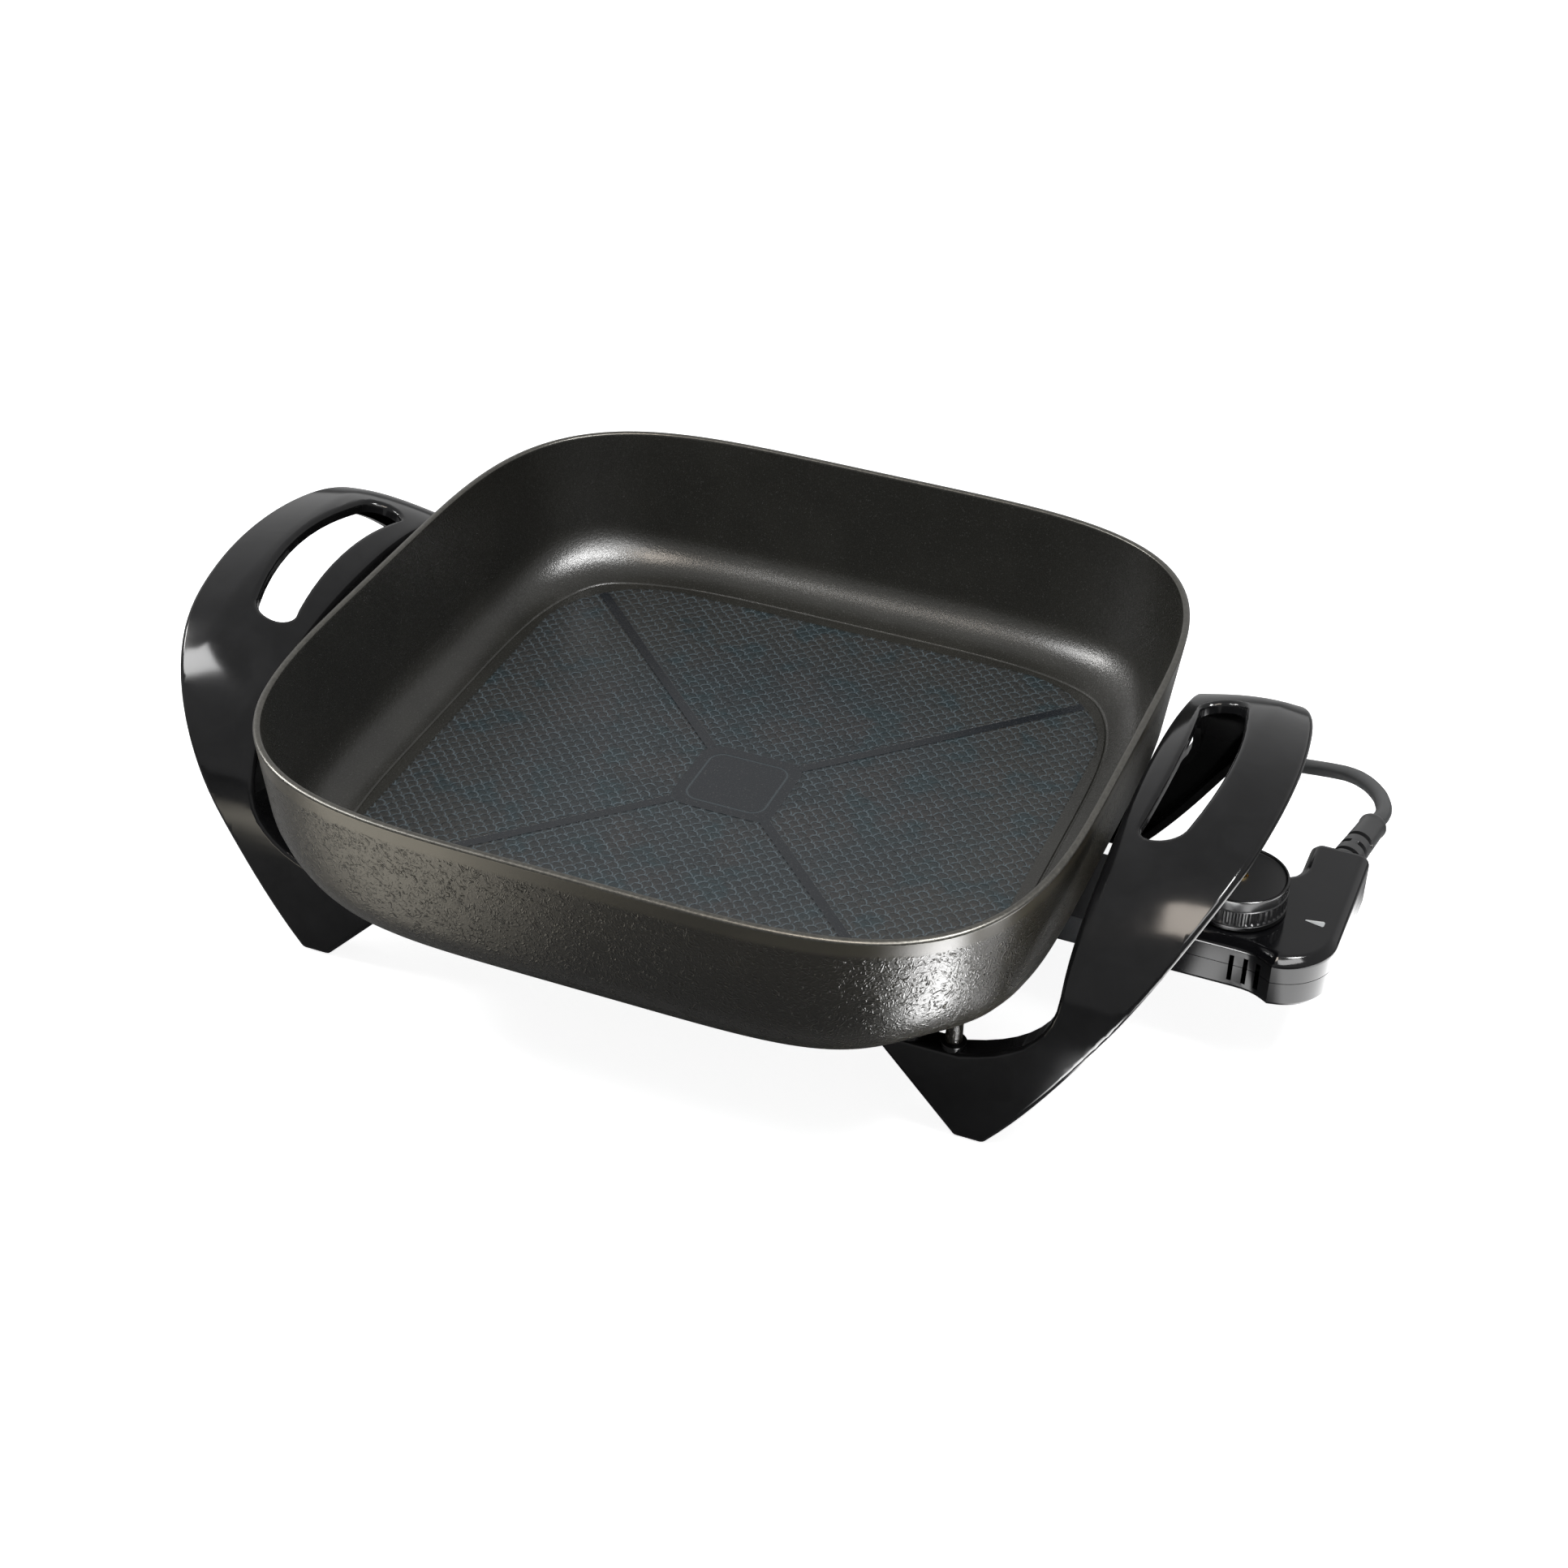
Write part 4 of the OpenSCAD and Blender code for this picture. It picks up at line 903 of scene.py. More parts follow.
class SKILLET_OT_cord(bpy.types.Operator):
    """Cord with its sleeve, coil, tie and plug"""

    bl_idname = "skillet.cord"
    bl_label = "Cord and plug"

    def execute(self, context):
        cord = context.scene.skillet_cord
        rubber = self.rubber(tuple(cord.colour))
        sleeve = self.sleeve(moulded("sleeve_rubber", (0.017, 0.0175, 0.0185), 0.34, 0.01))
        tie = self.tie(moulded("tie_vinyl", (0.008, 0.008, 0.009), 0.42, 0.01))
        plug = self.plug(moulded("plug_vinyl", (0.012, 0.012, 0.013), 0.3, 0.01))
        data = bpy.data.curves.new("power_cord", "CURVE")
        data.dimensions = "3D"
        data.bevel_depth = cord.diameter / 2
        data.bevel_resolution = 6
        data.resolution_u = 6
        data.use_fill_caps = True
        route = [TO_FRAME @ p for p in cord_route()]
        spline = data.splines.new("BEZIER")
        spline.bezier_points.add(len(route) - 1)
        for knot, spot in zip(spline.bezier_points, route):
            knot.co = spot
            knot.handle_left_type = knot.handle_right_type = "AUTO"
        data.materials.append(rubber)
        flex = bpy.data.objects.new("power_cord", data)
        context.scene.collection.objects.link(flex)
        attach(flex, "controller")
        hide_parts("cord_lead", "cord_coil", "cord_tail")
        return {"FINISHED"}

    @staticmethod
    def rubber(color):
        """Cord jacket: dull rubber with a fine drawn grain."""
        f = Finish("cord_rubber", color, 0.46)
        cloud = f.noise(14, 3)
        fine = f.noise(0.45, 3, 0.6)
        f.drift(cloud, color, 0.75, 1.3)
        f.set("Roughness", 0.4 + (cloud - 0.5) * 0.16 + (fine - 0.5) * 0.14)
        f.bump(fine, 0.03)
        return f.material

    @staticmethod
    def sleeve(material):
        """Tapered sleeve with three rings of slots, each ring turned a quarter from the last."""
        bm = bmesh.new()
        profile = [(0.0, -6.4), (8.2, -6.4), (8.4, -6.1), (8.4, -4.4), (8.2, -4.2), (6.0, -4.2)]
        profile += [(6.0, 0.6), (6.9, 0.9), (7.2, 1.5)]
        slots = []
        for i in range(3):
            low, high = 6.0 + 7 * i, 8.6 + 7 * i
            rl, rh = (7.2 - 1.4 * z / 38 for z in (low, high))
            profile += [(rl, low - 0.5), (rl, low), (rl, low + 0.45)]
            profile += [(rh, high - 0.45), (rh, high), (rh, high + 0.5)]
            slots.append((low + 0.35, high - 0.35, 90 * (i % 2)))
        profile += [(5.95, 36.2), (6.3, 37.2), (6.3, 38.4), (5.9, 39.3), (4.9, 39.9)]
        profile += [(3.7, RELIEF_LENGTH), (0.0, RELIEF_LENGTH)]
        spun(bm, profile, 64, closed=False)
        for vert in bm.verts:
            x, y, z = vert.co
            angle = math.degrees(math.atan2(y, x)) % 180
            for low, high, bridge in slots:
                if low < z < high and abs((angle - bridge + 90) % 180 - 90) > 16:
                    k = 4.5 / math.hypot(x, y)
                    vert.co = (x * k, y * k, z)
        turn = Matrix.Rotation(-math.radians(RELIEF_ANGLE), 4, "Z") @ Matrix.Rotation(-math.pi / 2, 4, "X")
        bmesh.ops.transform(bm, matrix=Matrix.Translation(RELIEF_ROOT) @ turn, verts=bm.verts)
        return finished("cord_sleeve", bm, [material], "controller", "strain_relief")

    @staticmethod
    def tie(material):
        """Flat strap round one side of the coil."""
        bm = bmesh.new()
        thickness, width = 0.8, 8.0
        half, low, high, r = 12.0, 0.1, 16.3, 4.0
        outline = arc(half - r, low + r, r, -90, 0, 6) + arc(half - r, high - r, r, 0, 90, 6)
        outline += arc(r - half, high - r, r, 90, 180, 6) + arc(r - half, low + r, r, 180, 270, 6)
        middle, tall = (low + high) / 2, (high - low) / 2
        across, up = 1 - thickness / half, 1 - thickness / tall
        inner = [(y * across, (z - middle) * up + middle) for y, z in outline]
        x, y0 = COIL_CENTRE[0] - width / 2, COIL_CENTRE[1] - TIE_RADIUS
        edges = [e for ring in (outline, inner) for e in loop_of(bm, [(x, y0 + y, z) for y, z in ring])]
        bmesh.ops.bridge_loops(bm, edges=edges)
        made = bmesh.ops.extrude_face_region(bm, geom=list(bm.faces), use_keep_orig=True)["geom"]
        bmesh.ops.translate(bm, vec=(width, 0, 0), verts=verts_in(made))
        bmesh.ops.recalc_face_normals(bm, faces=bm.faces)
        bevelled(bm, [e for e in bm.edges if e.calc_face_angle(0) > 1.2], 0.2, 2)
        return finished("coil_strap", bm, [material], "controller", "coil_tie")

    @staticmethod
    def plug(material):
        """Round moulded plug, ringed near its cord end, with two waisted sides to grip."""
        bm = bmesh.new()
        profile = [(0.0, 0.0), (5.6, 0.0), (6.4, 0.3), (7.0, 1.2), (7.3, 3.4), (6.4, 3.8), (6.4, 5.2)]
        profile += [(7.6, 5.6), (8.0, 8.0), (7.1, 8.4), (7.2, 9.8), (8.6, 10.2), (9.2, 12.6), (10.6, 15.6)]
        profile += [(12.5, 18.8), (14.4, 22.0), (16.2, 25.4), (17.4, 28.0), (18.0, 29.4), (18.4, 29.8)]
        profile += [(PLUG_RADIUS, 30.4), (PLUG_RADIUS, 36.8), (18.3, 37.6), (17.7, 38.0), (0.0, 38.0)]
        spun(bm, profile, 72, closed=False)
        for vert in bm.verts:
            x, y, z = vert.co
            r = math.hypot(x, y)
            if 11 < z < 29 and r > 8:
                # two waisted sides for the fingers
                pinch = (x / r) ** 4 * math.sin(math.pi * (z - 11) / 18) ** 2
                vert.co.x = x * (1 - 0.16 * pinch)
        bmesh.ops.transform(bm, matrix=plug_place(), verts=bm.verts)
        return finished("mains_plug", bm, [material], "controller", "plug_body")


# ---------------------------------------------------------------- pan

# The underside and the cooking floor in millimetres: how far inside the rim their walls are, their
# levels, and the radii of the turns between wall and floor, at the sides and at the corners
UNDERSIDE = (0, 53, (30, 45))
COOKING_FLOOR = (3.22, 59, (20, 30))
WALL_LEAN = math.radians(7)
# How far inside the rim the flat floor starts, and the power and size of the rim's round corners
FLOOR_EDGE = 29.3
RIM_POWER, RIM_SIZE = 3.6, 154.0
# The pan's materials, in their order
COATING, LIP, CASTING = range(3)


class SKILLET_OT_pan(bpy.types.Operator):
    """Cast pan: walls, rim, cooking floor, element ridges, probe well and posts"""

    bl_idname = "skillet.pan"
    bl_label = "Pan"

    def execute(self, context):
        pan = context.scene.skillet_pan
        self.half = pan.half_width / MM
        self.rim_z = pan.rim_height / MM
        bm = self.bowl(pan.ring_points)
        under = bmesh.new()
        self.underside(under)
        for face in under.faces:
            face.material_index = CASTING
        self.join(bm, under)
        materials = [cooking_surface(pan), rubbed_lip(pan), wrinkled_casting(pan)]
        finished("cast_pan", bm, materials, "skillet", "pan_body", sharp=40, recalc=False)
        return {"FINISHED"}

    def bowl(self, count):
        """The pan's walls and floor, drawn out ring by ring and closed at both ends."""
        spots, rings = self.rim(count), self.rings()
        bm = bmesh.new()
        start = bmesh.ops.create_circle(bm, cap_ends=False, segments=count, radius=self.half)["verts"]
        start.sort(key=lambda v: math.atan2(v.co.y, v.co.x) % (2 * math.pi))
        order = {v: i for i, v in enumerate(start)}
        ring = list({e for v in start for e in v.link_edges})
        self.lay(order, spots, rings[0][0])
        for shape, material in rings[1:]:
            fresh, ring = next_ring(bm, ring)
            for face in {f for e in ring for f in e.link_faces}:
                face.material_index = material
            partners = ((v, e.other_vert(v)) for v in fresh for e in v.link_edges)
            order = {v: order[other] for v, other in partners if other in order}
            self.lay(order, spots, shape)
        inner_cap = bmesh.ops.contextual_create(bm, geom=ring)["faces"]
        for face in inner_cap:
            face.material_index = COATING
        bm.edges.ensure_lookup_table()
        open_edges = [e for e in bm.edges if len(e.link_faces) == 1]
        outer_cap = bmesh.ops.contextual_create(bm, geom=open_edges)["faces"]
        for face in outer_cap:
            face.material_index = CASTING
        bmesh.ops.recalc_face_normals(bm, faces=bm.faces)
        bmesh.ops.triangulate(bm, faces=inner_cap + outer_cap)
        return bm

    @staticmethod
    def join(bm, other):
        """Adds one bmesh's faces to another."""
        mesh = bpy.data.meshes.new("part")
        other.to_mesh(mesh)
        other.free()
        bm.from_mesh(mesh)
        bpy.data.meshes.remove(mesh)

    def rim(self, count):
        """Evenly spaced points of the bowed square rim: point, outward direction, share of corner."""
        flat = self.half - RIM_SIZE
        angles = [math.pi / 2 * i / 1200 for i in range(1201)]
        shares = [[k(a) ** (2 / RIM_POWER) for k in (math.cos, math.sin)] for a in angles]
        quarter = [(flat + RIM_SIZE * p, flat + RIM_SIZE * q) for p, q in shares]
        quarters = ((1, 0), (0, 1), (-1, 0), (0, -1))
        dense = [Vector((c * x - s * y, s * x + c * y)) for c, s in quarters for x, y in quarter]
        dense.append(dense[0])
        lengths = [0.0]
        for a, b in zip(dense, dense[1:]):
            lengths.append(lengths[-1] + (b - a).length)
        out, k = [], 0
        start = (dense[0] - Vector((self.half, 0))).length
        for i in range(count):
            want = (lengths[-1] * i / count - start) % lengths[-1]
            k = 0 if want < lengths[k] else k
            while lengths[k + 1] < want:
                k += 1
            span = max(1e-9, lengths[k + 1] - lengths[k])
            out.append(dense[k].lerp(dense[k + 1], (want - lengths[k]) / span))
        final = []
        for i, p in enumerate(out):
            along = out[(i + 1) % count] - out[i - 1]
            normal = Vector((along.y, -along.x)).normalized()
            final.append((p, normal, (2 * normal.x * normal.y) ** 2))
        return final

    def rings(self):
        """Rings from the middle of the underside over the rim to the middle of the floor.

        Each is a function of the share of corner that gives (distance inside the rim, height),
        and the material of the strip before it."""
        rim_z, rise = self.rim_z, math.tan(WALL_LEAN)
        steepest = math.pi / 2 - WALL_LEAN

        def turn(w, inset, base, radii):
            """The turn at the foot of a wall: how far in its middle is, and its radius."""
            r = radii[0] + (radii[1] - radii[0]) * w
            return inset + (rim_z - base - r) * rise + r / math.cos(WALL_LEAN), r

        def fillet(face, share, edge=None):
            def at(w):
                cx, r = turn(w, *face)
                last = math.asin(max(0.0, min(1.0, (cx - edge) / r))) if edge else 0.0
                a = last + (steepest - last) * share
                return cx - r * math.sin(a), face[1] + r - r * math.cos(a)

            return at

        def wall(face, share):
            def at(w):
                foot = fillet(face, 1.0)(w)[1]
                z = foot + (rim_z - 1.5 - foot) * share
                return face[0] + (rim_z - z) * rise, z

            return at

        def lip(inside, drop):
            return lambda w: (inside, rim_z - drop)

        def floor(inside, sink):
            def at(w):
                cx, r = turn(w, *COOKING_FLOOR)
                lift = r - math.sqrt(max(0.0, r * r - max(0.0, cx - inside) ** 2))
                return inside, COOKING_FLOOR[1] + lift - sink

            return at

        lips = ((0.14, 0.95), (0.5, 0.42), (1.1, 0.1), (1.7, 0), (2.35, 0), (2.9, 0.2), (3.25, 0.6))
        sunk_line = ((29.7, 0), (30.1, 0.35), (30.5, 0.45), (30.9, 0.35), (31.3, 0))
        rings = [(lambda w: (52.0, 53.0), CASTING)]
        rings += [(fillet(UNDERSIDE, i / 10), CASTING) for i in range(11)]
        rings += [(wall(UNDERSIDE, share), CASTING) for share in (0.2, 0.4, 0.6, 0.8, 0.93, 1.0)]
        rings += [(lip(*spot), LIP) for spot in lips]
        rings += [(wall(COOKING_FLOOR, share), COATING) for share in (1.0, 0.9, 0.75, 0.6, 0.45, 0.3, 0.15)]
        rings += [(fillet(COOKING_FLOOR, 1 - i / 12, FLOOR_EDGE), COATING) for i in range(13)]
        rings += [(floor(*spot), COATING) for spot in sunk_line]
        return rings + [(floor(inside, 0), COATING) for inside in (33, 35, 37, 40, 46)]

    @staticmethod
    def lay(order, spots, shape):
        """Moves the verts of a ring, in their order round the rim, to its shape."""
        for vert, i in order.items():
            spot, normal, share = spots[i]
            inside, height = shape(share)
            vert.co = (spot.x - normal.x * inside, spot.y - normal.y * inside, height)

    def underside(self, bm):
        """Ridges that hold the heating tube, the probe well and the posts."""
        half, corner, bend, near = 95.0, 30.0, 15.0, 13.0
        side = [(126.0, near)]
        side += arc(half + bend, near + bend, bend, 270, 180, 8)
        side += arc(half - corner, half - corner, corner, 0, 90, 10)
        side += arc(corner - half, half - corner, corner, 90, 180, 10)
        path = [(x, y, 0) for x, y in side] + [(x, -y, 0) for x, y in reversed(side)]
        section = [(-7.55, 53.6), (-7.55, 45.0), (-7.2, 44.2), (-6.4, 43.85), (-4.05, 43.85), (-4.05, 46.25)]
        section += [(-x, z) for x, z in arc(0, 46.25, 4.05, 30, 60, 1)]
        section += [(0, 50.3)] + [(-x, z) for x, z in reversed(section)]
        swept(bm, section, path)
        well = block(bm, (110, 0, 47.4), (32, 14, 12.3))
        bevelled(bm, list({e for v in well for e in v.link_edges}), 2.0, 3)
        for x in POSTS_X:
            for corner in ((x, POST_Y), (x, -POST_Y), (-x, POST_Y), (-x, -POST_Y)):
                knob(bm, corner, 3.5, 42.0, 57.0)
        bmesh.ops.recalc_face_normals(bm, faces=bm.faces)


# ---------------------------------------------------------------- handles

# The handle's arch in millimetres: the radii of its top and its shoulders, half the width of
# its top, and its height. Its legs stand at an angle in degrees.
TOP_RADIUS, SHOULDER_RADIUS = 215.0, 80.0
TOP_HALF = 50
ARCH_HEIGHT = 133.5
LEG_ANGLE = 85
SAMPLE_STEP = 0.25
# The moulding: its depth, skin and wall, and the depth of the walls round the slot
DEPTH, SKIN, WALL = 12.0, 4.5, 3.5
SLOT_DEPTH = 5.4
# Where the grip's inner edge and the middle of its crown are, and the pitch of the cuts across it
INNER_X, CROWN_X = 181.5, 219
CUT_PITCH = 4.0


def sliced(bm, direction, distance):
    """Cuts all the faces at a distance along a direction."""
    bmesh.ops.bisect_plane(
        bm,
        geom=bm.verts[:] + bm.edges[:] + bm.faces[:],
        dist=1e-4,
        plane_co=Vector(direction) * distance,
        plane_no=direction,
    )


class SKILLET_OT_handles(bpy.types.Operator):
    """Two leg-and-grip mouldings"""

    bl_idname = "skillet.handles"
    bl_label = "Handles"

    def execute(self, context):
        handle = context.scene.skillet_handle
        colour, swirl = tuple(handle.colour), (17, 3, 0.55, 0.4)
        material = polished("handle_phenolic", colour, handle.roughness, 0.16, swirl, 0.7, 22, 0.1)
        self.arch()
        for name, node, side in (("grip_right", "handle_right", 1), ("grip_left", "handle_left", -1)):
            bm = bmesh.new()
            self.channel(bm, handle)
            for x in POSTS_X:
                for y in (-POST_Y, POST_Y):
                    knob(bm, (x, y), 5.5, 30.0, 42.0, 0.5)
            bmesh.ops.scale(bm, vec=(side, 1, 1), verts=bm.verts)
            finished(name, bm, [material], "skillet", node, sharp=38)
        return {"FINISHED"}

    def arch(self):
        """Samples of the outer curve, by distance from the top: angle from upright, y and z."""
        first, last = math.asin(TOP_HALF / TOP_RADIUS), math.radians(LEG_ANGLE)
        start = TOP_RADIUS * first
        end = start + SHOULDER_RADIUS * (last - first)

        def bend(s):
            if s < 0:
                return -bend(-s)
            if s < start:
                return s / TOP_RADIUS
            return first + (s - start) / SHOULDER_RADIUS if s < end else last

        soft = 9.0
        weights = {k: 1 - abs(k) / 7 for k in range(-6, 7)}
        self.samples = []
        y, z = 0.0, ARCH_HEIGHT
        while z > -3:
            s = len(self.samples) * SAMPLE_STEP
            angle = sum(bend(s + soft * k / 6) * w for k, w in weights.items()) / sum(weights.values())
            self.samples.append((s, angle, y, z))
            y += SAMPLE_STEP * math.cos(angle)
            z -= SAMPLE_STEP * math.sin(angle)

    def at(self, s):
        """Angle, y and z of the outer curve at a distance from the top."""
        i = min(abs(s) / SAMPLE_STEP, len(self.samples) - 1.001)
        k = int(i)
        _, angle, y, z = (p + (q - p) * (i - k) for p, q in zip(self.samples[k], self.samples[k + 1]))
        return (angle, y, z) if s >= 0 else (-angle, -y, z)

    def along(self, z):
        """Distance from the top at which the outer curve is at a height."""
        low, high = 0.0, self.samples[-1][0]
        for _ in range(40):
            middle = (low + high) / 2
            if self.at(middle)[2] > z:
                low = middle
            else:
                high = middle
        return low

    OUTER = cubic((157, 0), (189, 35.5), (214, 92.5), (242, 133.5), 60)

    def outer_x(self, z):
        """How far out the outer edge is at a height."""
        for (x0, z0), (x1, z1) in zip(self.OUTER, self.OUTER[1:]):
            if z <= z1:
                return x0 + (x1 - x0) * (z - z0) / (z1 - z0)
        return self.OUTER[-1][0]

    def outline(self):
        """Outline of the handle laid flat: distance along the arch, and x."""
        foot = self.along(0.0)
        steps = 34
        spots = [(foot - 7) * i / steps for i in range(steps + 1)]
        side = [(s, self.outer_x(self.at(s)[2])) for s in spots]
        toe, heel = (foot, 157.0), (foot, 144.5)
        tip = (self.along(40.0), 104.0)
        side += rounded_corner(side[-1], toe, heel, 3.2, 4)
        side += rounded_corner(toe, heel, tip, 2.6, 3)
        side += rounded_corner(heel, tip, (tip[0], 143.0), 3.6, 5)
        notch = cubic((143, 40), (167, 46), (180, 58), (180, 77), 9)
        rail = cubic((180, 77), (180, 90), (180.8, 104), (INNER_X, 117.5), 6)[1:]
        side += [(self.along(z), x) for x, z in notch + rail]
        end = side[-1][0]
        side += [(end * k / 12, INNER_X) for k in range(11, 0, -1)]
        other = [(-s, x) for s, x in reversed(side)]
        return side + other[:-1]

    @staticmethod
    def slot():
        """Outline of the grip slot laid flat."""
        x0, x1, belly = 191.0, 215.5, 5.7
        front, rear = 54.2, 56.6
        points = arc(x0 + 7, -front + 7, 7, 180, 270, 7) + arc(x1 - belly - 11, -front + 11, 11, 270, 347, 8)
        points += [(x1 - 2.9 * (abs(s) / 32) ** 2, s) for s in range(-36, 37, 9)]
        points += arc(x1 - belly - 11, rear - 11, 11, 13, 90, 8) + arc(x0 + 7, rear - 7, 7, 90, 180, 7)
        points += [(x0 + 3.0 * (1 - (s / 49) ** 2), s) for s in range(42, -43, -7)]
        return [(s, x) for x, s in points]

    def channel(self, bm, handle):
        """The moulding, drawn flat, cut into a grid and bent along the arch."""
        radius, crown = handle.edge_radius / MM, handle.crown / MM
        turns = (0, 22, 45, 68, 90)
        moulding(bm, self.outline(), [self.slot()], DEPTH, SKIN, WALL, radius, turns, SLOT_DEPTH)
        for k in range(-41, 42):
            sliced(bm, (1, 0, 0), k * CUT_PITCH + 0.013)
        for k in range(10):
            sliced(bm, (0, 1, 0), 185.52 + k * CUT_PITCH)
        self.clear(bm)
        foot = self.along(0.0)
        for vert in bm.verts:
            s, x, h = vert.co
            angle, y, z = self.at(s)
            below = DEPTH - h
            depth = below + (x - CROWN_X) ** 2 / (2 * crown) * (1 - ease((abs(s) - 52) / 70))
            # the outer wall leans in, except near the feet and towards the rear
            if self.outer_x(z) - x < 4.6 and below > radius:
                ends = min(1.0, max(0.0, (foot - 8 - abs(s)) / 24), max(0.0, (75 - s) / 35))
                x -= handle.lean * (below - radius) * ends
            vert.co = (x, y - math.sin(angle) * depth, max(0.0, z - math.cos(angle) * depth))

    @staticmethod
    def clear(bm):
        """Takes out the slanting edges of the first triangles, which the grid of cuts replaces."""
        bm.normal_update()
        spare = []
        for edge in bm.edges:
            along = edge.verts[0].co - edge.verts[1].co
            flat = len(edge.link_faces) == 2 and all(abs(f.normal.z) > 0.9999 for f in edge.link_faces)
            if flat and abs(along.x) > 1e-3 and abs(along.y) > 1e-3:
                spare.append(edge)
        bmesh.ops.dissolve_edges(bm, edges=spare, use_verts=True)


# ---------------------------------------------------------------- controller

# The case in millimetres: the depth of each shell, its wall, the levels where the two meet, and
# where its slots are
SHELL, CASE_WALL = 11.85, 2.2
COVER_LEVEL, BASE_LEVEL = 51.15, 50.85
VENTS = (231.0, 237.0, 242.5)
DIAL_X, DIAL_LEVEL = 225.5, 63.4
MARK_LEVEL = 62.75


def cut(piece, cutter):
    """Cuts one object out of another, and removes the cutter."""
    modifier = piece.modifiers.new("cut", "BOOLEAN")
    modifier.operation, modifier.solver, modifier.object = "DIFFERENCE", "EXACT", cutter
    bpy.context.view_layer.update()
    graph = bpy.context.evaluated_depsgraph_get()
    mesh = bpy.data.meshes.new_from_object(piece.evaluated_get(graph))
    piece.modifiers.remove(modifier)
    old = piece.data
    piece.data = mesh
    bpy.data.meshes.remove(old)
    mesh.name = piece.name
    bpy.data.objects.remove(cutter)


class SKILLET_OT_controller(bpy.types.Operator):
    """Two shells of the plug-in temperature controller"""

    bl_idname = "skillet.controller"
    bl_label = "Controller"

    def execute(self, context):
        settings = context.scene.skillet_controller
        colour, swirl = tuple(settings.colour), (24, 3, 0.5, 0.3)
        material = polished("case_gloss", colour, 0.12, 0.22, swirl, 0.6, 18, 0.05)
        outline = self.outline()
        hole = arc(DIAL_X, 0, 3.3, 360, 0, 32)[:-1]
        radius, turns = settings.edge_radius / MM, (0, 12, 26, 64, 78, 90)
        bm = bmesh.new()
        moulding(bm, outline, [hole], SHELL, CASE_WALL, CASE_WALL, radius, turns)
        bmesh.ops.translate(bm, vec=(0, 0, COVER_LEVEL), verts=bm.verts)
        self.vented(bm, "case_cover", material, "controller_cover")
        bm = bmesh.new()
        moulding(bm, outline, [], SHELL, CASE_WALL, CASE_WALL, 2.2, (0, 22, 45, 68, 90))
        bmesh.ops.scale(bm, vec=(1, 1, -1), verts=bm.verts)
        bmesh.ops.translate(bm, vec=(0, 0, BASE_LEVEL), verts=bm.verts)
        self.vented(bm, "case_base", material, "controller_base")
        self.pointer()
        return {"FINISHED"}

    @staticmethod
    def pointer():
        """White wedge beside the dial, let into the cover and standing a little proud of it."""
        (x0, y0, _), (x1, y1, _) = [[v / MM for v in corner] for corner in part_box("dial_mark")]
        x0, x1 = x0 - SHIFT, x1 - SHIFT
        middle, tip, bite = (y0 + y1) / 2, 0.25, 0.6
        outline = [(x0, middle - tip), (x1 - bite, y0), (x1, y0 + bite)]
        outline += [(x1, y1 - bite), (x1 - bite, y1), (x0, middle + tip)]
        bm = bmesh.new()
        base = bmesh.ops.contextual_create(bm, geom=loop_of(bm, outline))["faces"]
        made = bmesh.ops.extrude_face_region(bm, geom=base, use_keep_orig=True)["geom"]
        top = [g for g in made if isinstance(g, bmesh.types.BMFace)]
        bmesh.ops.translate(bm, vec=(0, 0, 0.42), verts=verts_in(made))
        bmesh.ops.inset_region(
            bm, faces=top, thickness=0.12, depth=0.08, use_boundary=True, use_even_offset=True
        )
        bmesh.ops.translate(bm, vec=(0, 0, MARK_LEVEL), verts=bm.verts)
        paint = moulded("mark_white", (0.72, 0.74, 0.74), 0.35, 0.01)
        finished("pointer", bm, [paint], "controller", "dial_mark", sharp=25)

    @staticmethod
    def outline():
        """Plan of the case, anticlockwise."""
        s, x0, x1, arm = 26.0, 171.0, 270.5, 245.0
        points = arc(x0 + 5, -s + 5, 5, 180, 270, 4)
        points += [(x, -s) for x in (185, 200, 214, 226)]
        points += cubic((232, -s), (241, -s), (243, -27.6), (248.4, -31.1), 5)
        points += arc(x1 - 24, 24 - s - 5, 24, -80, 0, 15)
        points += [(x1, y) for y in (10, 24, 38)]
        points += arc(x1 - 5, 58 - 5, 5, 0, 90, 7)
        points += arc(arm + 5, 58 - 5, 5, 90, 180, 7)
        points += arc(arm - 10, s + 12, 10, 0, -90, 8)
        points += [(x, s) for x in (226, 214, 200, 185)]
        points += arc(x0 + 5, s - 5, 5, 90, 180, 4)
        return points

    @staticmethod
    def vented(bm, name, material, node):
        """The shell as a piece, with three slots cut in the front of its stem."""
        piece = finished(name, bm, [material], "controller", node, sharp=35)
        tool = bmesh.new()
        for x in VENTS:
            block(tool, (x, -27.0, 49.5), (2.0, 8.0, 13.0))
        bmesh.ops.transform(tool, matrix=TO_FRAME, verts=tool.verts)
        piece.modifiers.clear()
        cut(piece, linked("slots", tool))
        even_normals(piece, 35)


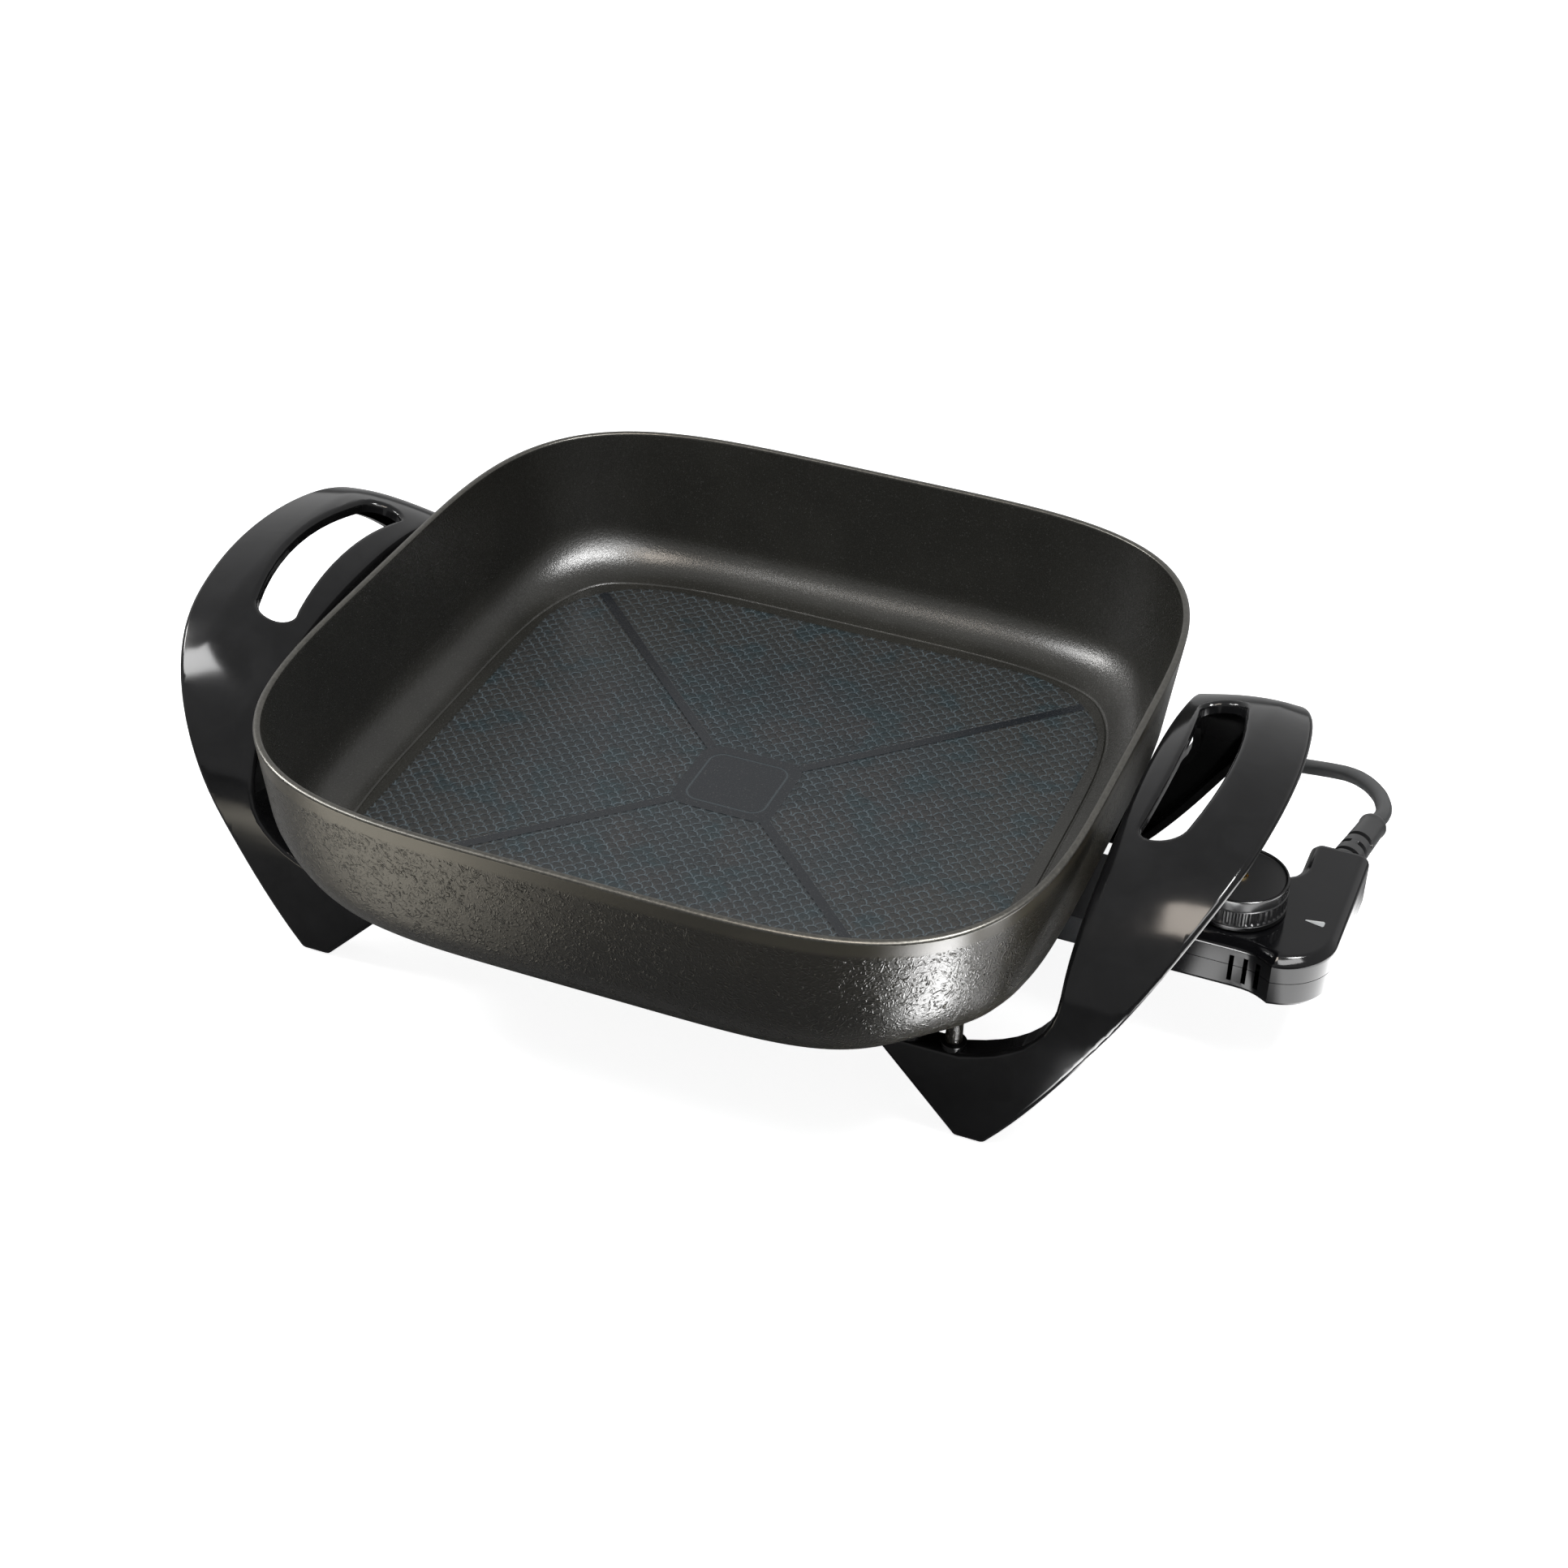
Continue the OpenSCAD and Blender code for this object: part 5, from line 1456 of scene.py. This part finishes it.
class SKILLET_OT_dial(bpy.types.Operator):
    """Temperature dial"""

    bl_idname = "skillet.dial"
    bl_label = "Dial"

    def execute(self, context):
        settings = context.scene.skillet_controller
        steps = 4 * settings.ribs
        bm = bmesh.new()
        profile = [(3.05, 14.0), (18.4, 14.0), (18.75, 14.2), (18.95, 14.75), (19.25, 15.0), (19.7, 15.0)]
        profile += [(20.05, 14.8), (20.2, 14.35), (20.2, 10.6), (20.05, 10.3), (19.85, 10.2), (19.85, 9.9)]
        profile += [(20.1, 9.75), (20.4, 9.6), (20.4, 9.0), (20.4, 3.6), (20.4, 3.0), (20.2, 2.75)]
        profile += [(20.2, 2.5), (20.5, 2.35), (20.6, 2.1), (20.6, 0.4), (20.4, 0.1), (20.1, 0.0)]
        profile += [(18.0, 0.0), (18.0, 11.0), (7.0, 11.0), (7.0, 0.0), (3.05, 0.0)]
        spun(bm, profile, steps)
        for vert in bm.verts:
            x, y, z = vert.co
            r = math.hypot(x, y)
            groove = round(math.degrees(math.atan2(y, x)) / 360 * steps) % 4 < 2
            if 3.4 < z < 9.2 and r > 20.3 and groove:
                vert.co = (x * (r - 0.75) / r, y * (r - 0.75) / r, z)
        bmesh.ops.translate(bm, vec=(DIAL_X, 0, DIAL_LEVEL), verts=bm.verts)
        plastic = self.finish(tuple(settings.dial_colour))
        finished("dial", bm, [plastic], "dial", "dial_knob", sharp=28)
        return {"FINISHED"}

    @staticmethod
    def finish(color):
        """Dial plastic: matt top, polished band and ribs, with a painted sheen lightening the band and ribs.
        """
        f = Finish("dial_plastic", color, 0.2, Specular_IOR_Level=0.3)
        x, y, z = f.point.split()
        side = ((x - DIAL_X) * (x - DIAL_X) + y * y) ** 0.5
        top = side.fade(18.4, 18.9)
        fine = f.noise(0.4, 3, 0.6)
        # painted sheen: the side band and ribs are a lighter grey than the top
        colour = f.mix(z.step(65.8, 66.2) * z.fade(77.0, 77.6), color, (0.03, 0.03, 0.031))
        f.set("Base Color", f.mix(top, colour, color))
        f.set("Roughness", 0.2 + top * 0.22 + (fine - 0.5) * 0.08)
        f.bump(fine, 0.01)
        return f.material


# ---------------------------------------------------------------- finishes of the frame's pieces


class SKILLET_OT_fittings(bpy.types.Operator):
    """Finishes of the element, terminals, guard, screws, contacts, shaft and plug contacts"""

    bl_idname = "skillet.fittings"
    bl_label = "Fittings"

    def execute(self, context):
        sheath = metal("element_sheath", (0.42, 0.4, 0.38), 0.42, (1, 1, 1))
        steel = metal("bare_steel", (0.56, 0.56, 0.55), 0.3, (0.25, 3, 3))
        plated = metal("nickel_plate", (0.72, 0.71, 0.68), 0.2, (1, 1, 0.3), 0.003)
        brass = metal("turned_brass", (0.72, 0.53, 0.24), 0.22, (2, 2, 0.3), 0.004)
        copper = metal("contact_alloy", (0.7, 0.42, 0.28), 0.3, (0.4, 2, 2))
        resin = moulded("terminal_resin", (0.16, 0.1, 0.055), 0.45, 0.02)
        guard = moulded("guard_paint", (0.02, 0.021, 0.023), 0.4, 0.02)
        stone = ceramic("white_ceramic", (0.62, 0.6, 0.54))
        wire = moulded("wire_sleeve", (0.3, 0.12, 0.05), 0.5, 0.02)
        for material, names in (
            (sheath, ("heating_element",)),
            (plated, ("terminal_pins", "guard_screws", "handle_screws", "case_screws")),
            (plated, ("plug_pins", "plug_earth_clips")),
            (stone, ("terminal_insulators", "contact_base")),
            (guard, ("terminal_guard",)),
            (resin, ("contact_block",)),
            (brass, ("contact_sleeves", "dial_shaft")),
            (steel, ("probe_tube", "sensor_rod", "thermostat_frame", "arm_pivot_pin", "shaft_clip")),
            (copper, ("contact_arm", "moving_contact", "fixed_contact")),
            (wire, ("inner_leads",)),
        ):
            for name in names:
                node = NODES[name]
                if not node.material_slots:
                    node.data.materials.append(material)
                for slot in node.material_slots:
                    slot.material = material
        return {"FINISHED"}


# ---------------------------------------------------------------- panel


class SKILLET_PT_panel(bpy.types.Panel):
    """Lists what makes up the skillet"""

    bl_label = "Electric Skillet"
    bl_idname = "SKILLET_PT_panel"
    bl_space_type = "VIEW_3D"
    bl_region_type = "UI"
    bl_category = "Skillet"

    def draw(self, context):
        for operator in OPERATORS:
            self.layout.operator(operator.bl_idname)
        for name in SETTINGS:
            group = getattr(context.scene, name)
            for key in group.__annotations__:
                self.layout.prop(group, key)


OPERATORS = (
    SKILLET_OT_stage,
    SKILLET_OT_cord,
    SKILLET_OT_pan,
    SKILLET_OT_handles,
    SKILLET_OT_controller,
    SKILLET_OT_dial,
    SKILLET_OT_fittings,
)
SETTINGS = {
    "skillet_stage": StageSettings,
    "skillet_cord": CordSettings,
    "skillet_pan": PanSettings,
    "skillet_handle": HandleSettings,
    "skillet_controller": ControllerSettings,
}


def register():
    for group in SETTINGS.values():
        bpy.utils.register_class(group)
    for name, group in SETTINGS.items():
        setattr(bpy.types.Scene, name, PointerProperty(type=group))
    for operator in OPERATORS:
        bpy.utils.register_class(operator)
    bpy.utils.register_class(SKILLET_PT_panel)


def unregister():
    bpy.utils.unregister_class(SKILLET_PT_panel)
    for operator in reversed(OPERATORS):
        bpy.utils.unregister_class(operator)
    for name in SETTINGS:
        delattr(bpy.types.Scene, name)
    for group in reversed(list(SETTINGS.values())):
        bpy.utils.unregister_class(group)


def main():
    register()
    bpy.ops.skillet.stage()
    bpy.ops.skillet.cord()
    bpy.ops.skillet.pan()
    bpy.ops.skillet.handles()
    bpy.ops.skillet.controller()
    bpy.ops.skillet.dial()
    bpy.ops.skillet.fittings()


if __name__ == "__main__":
    main()
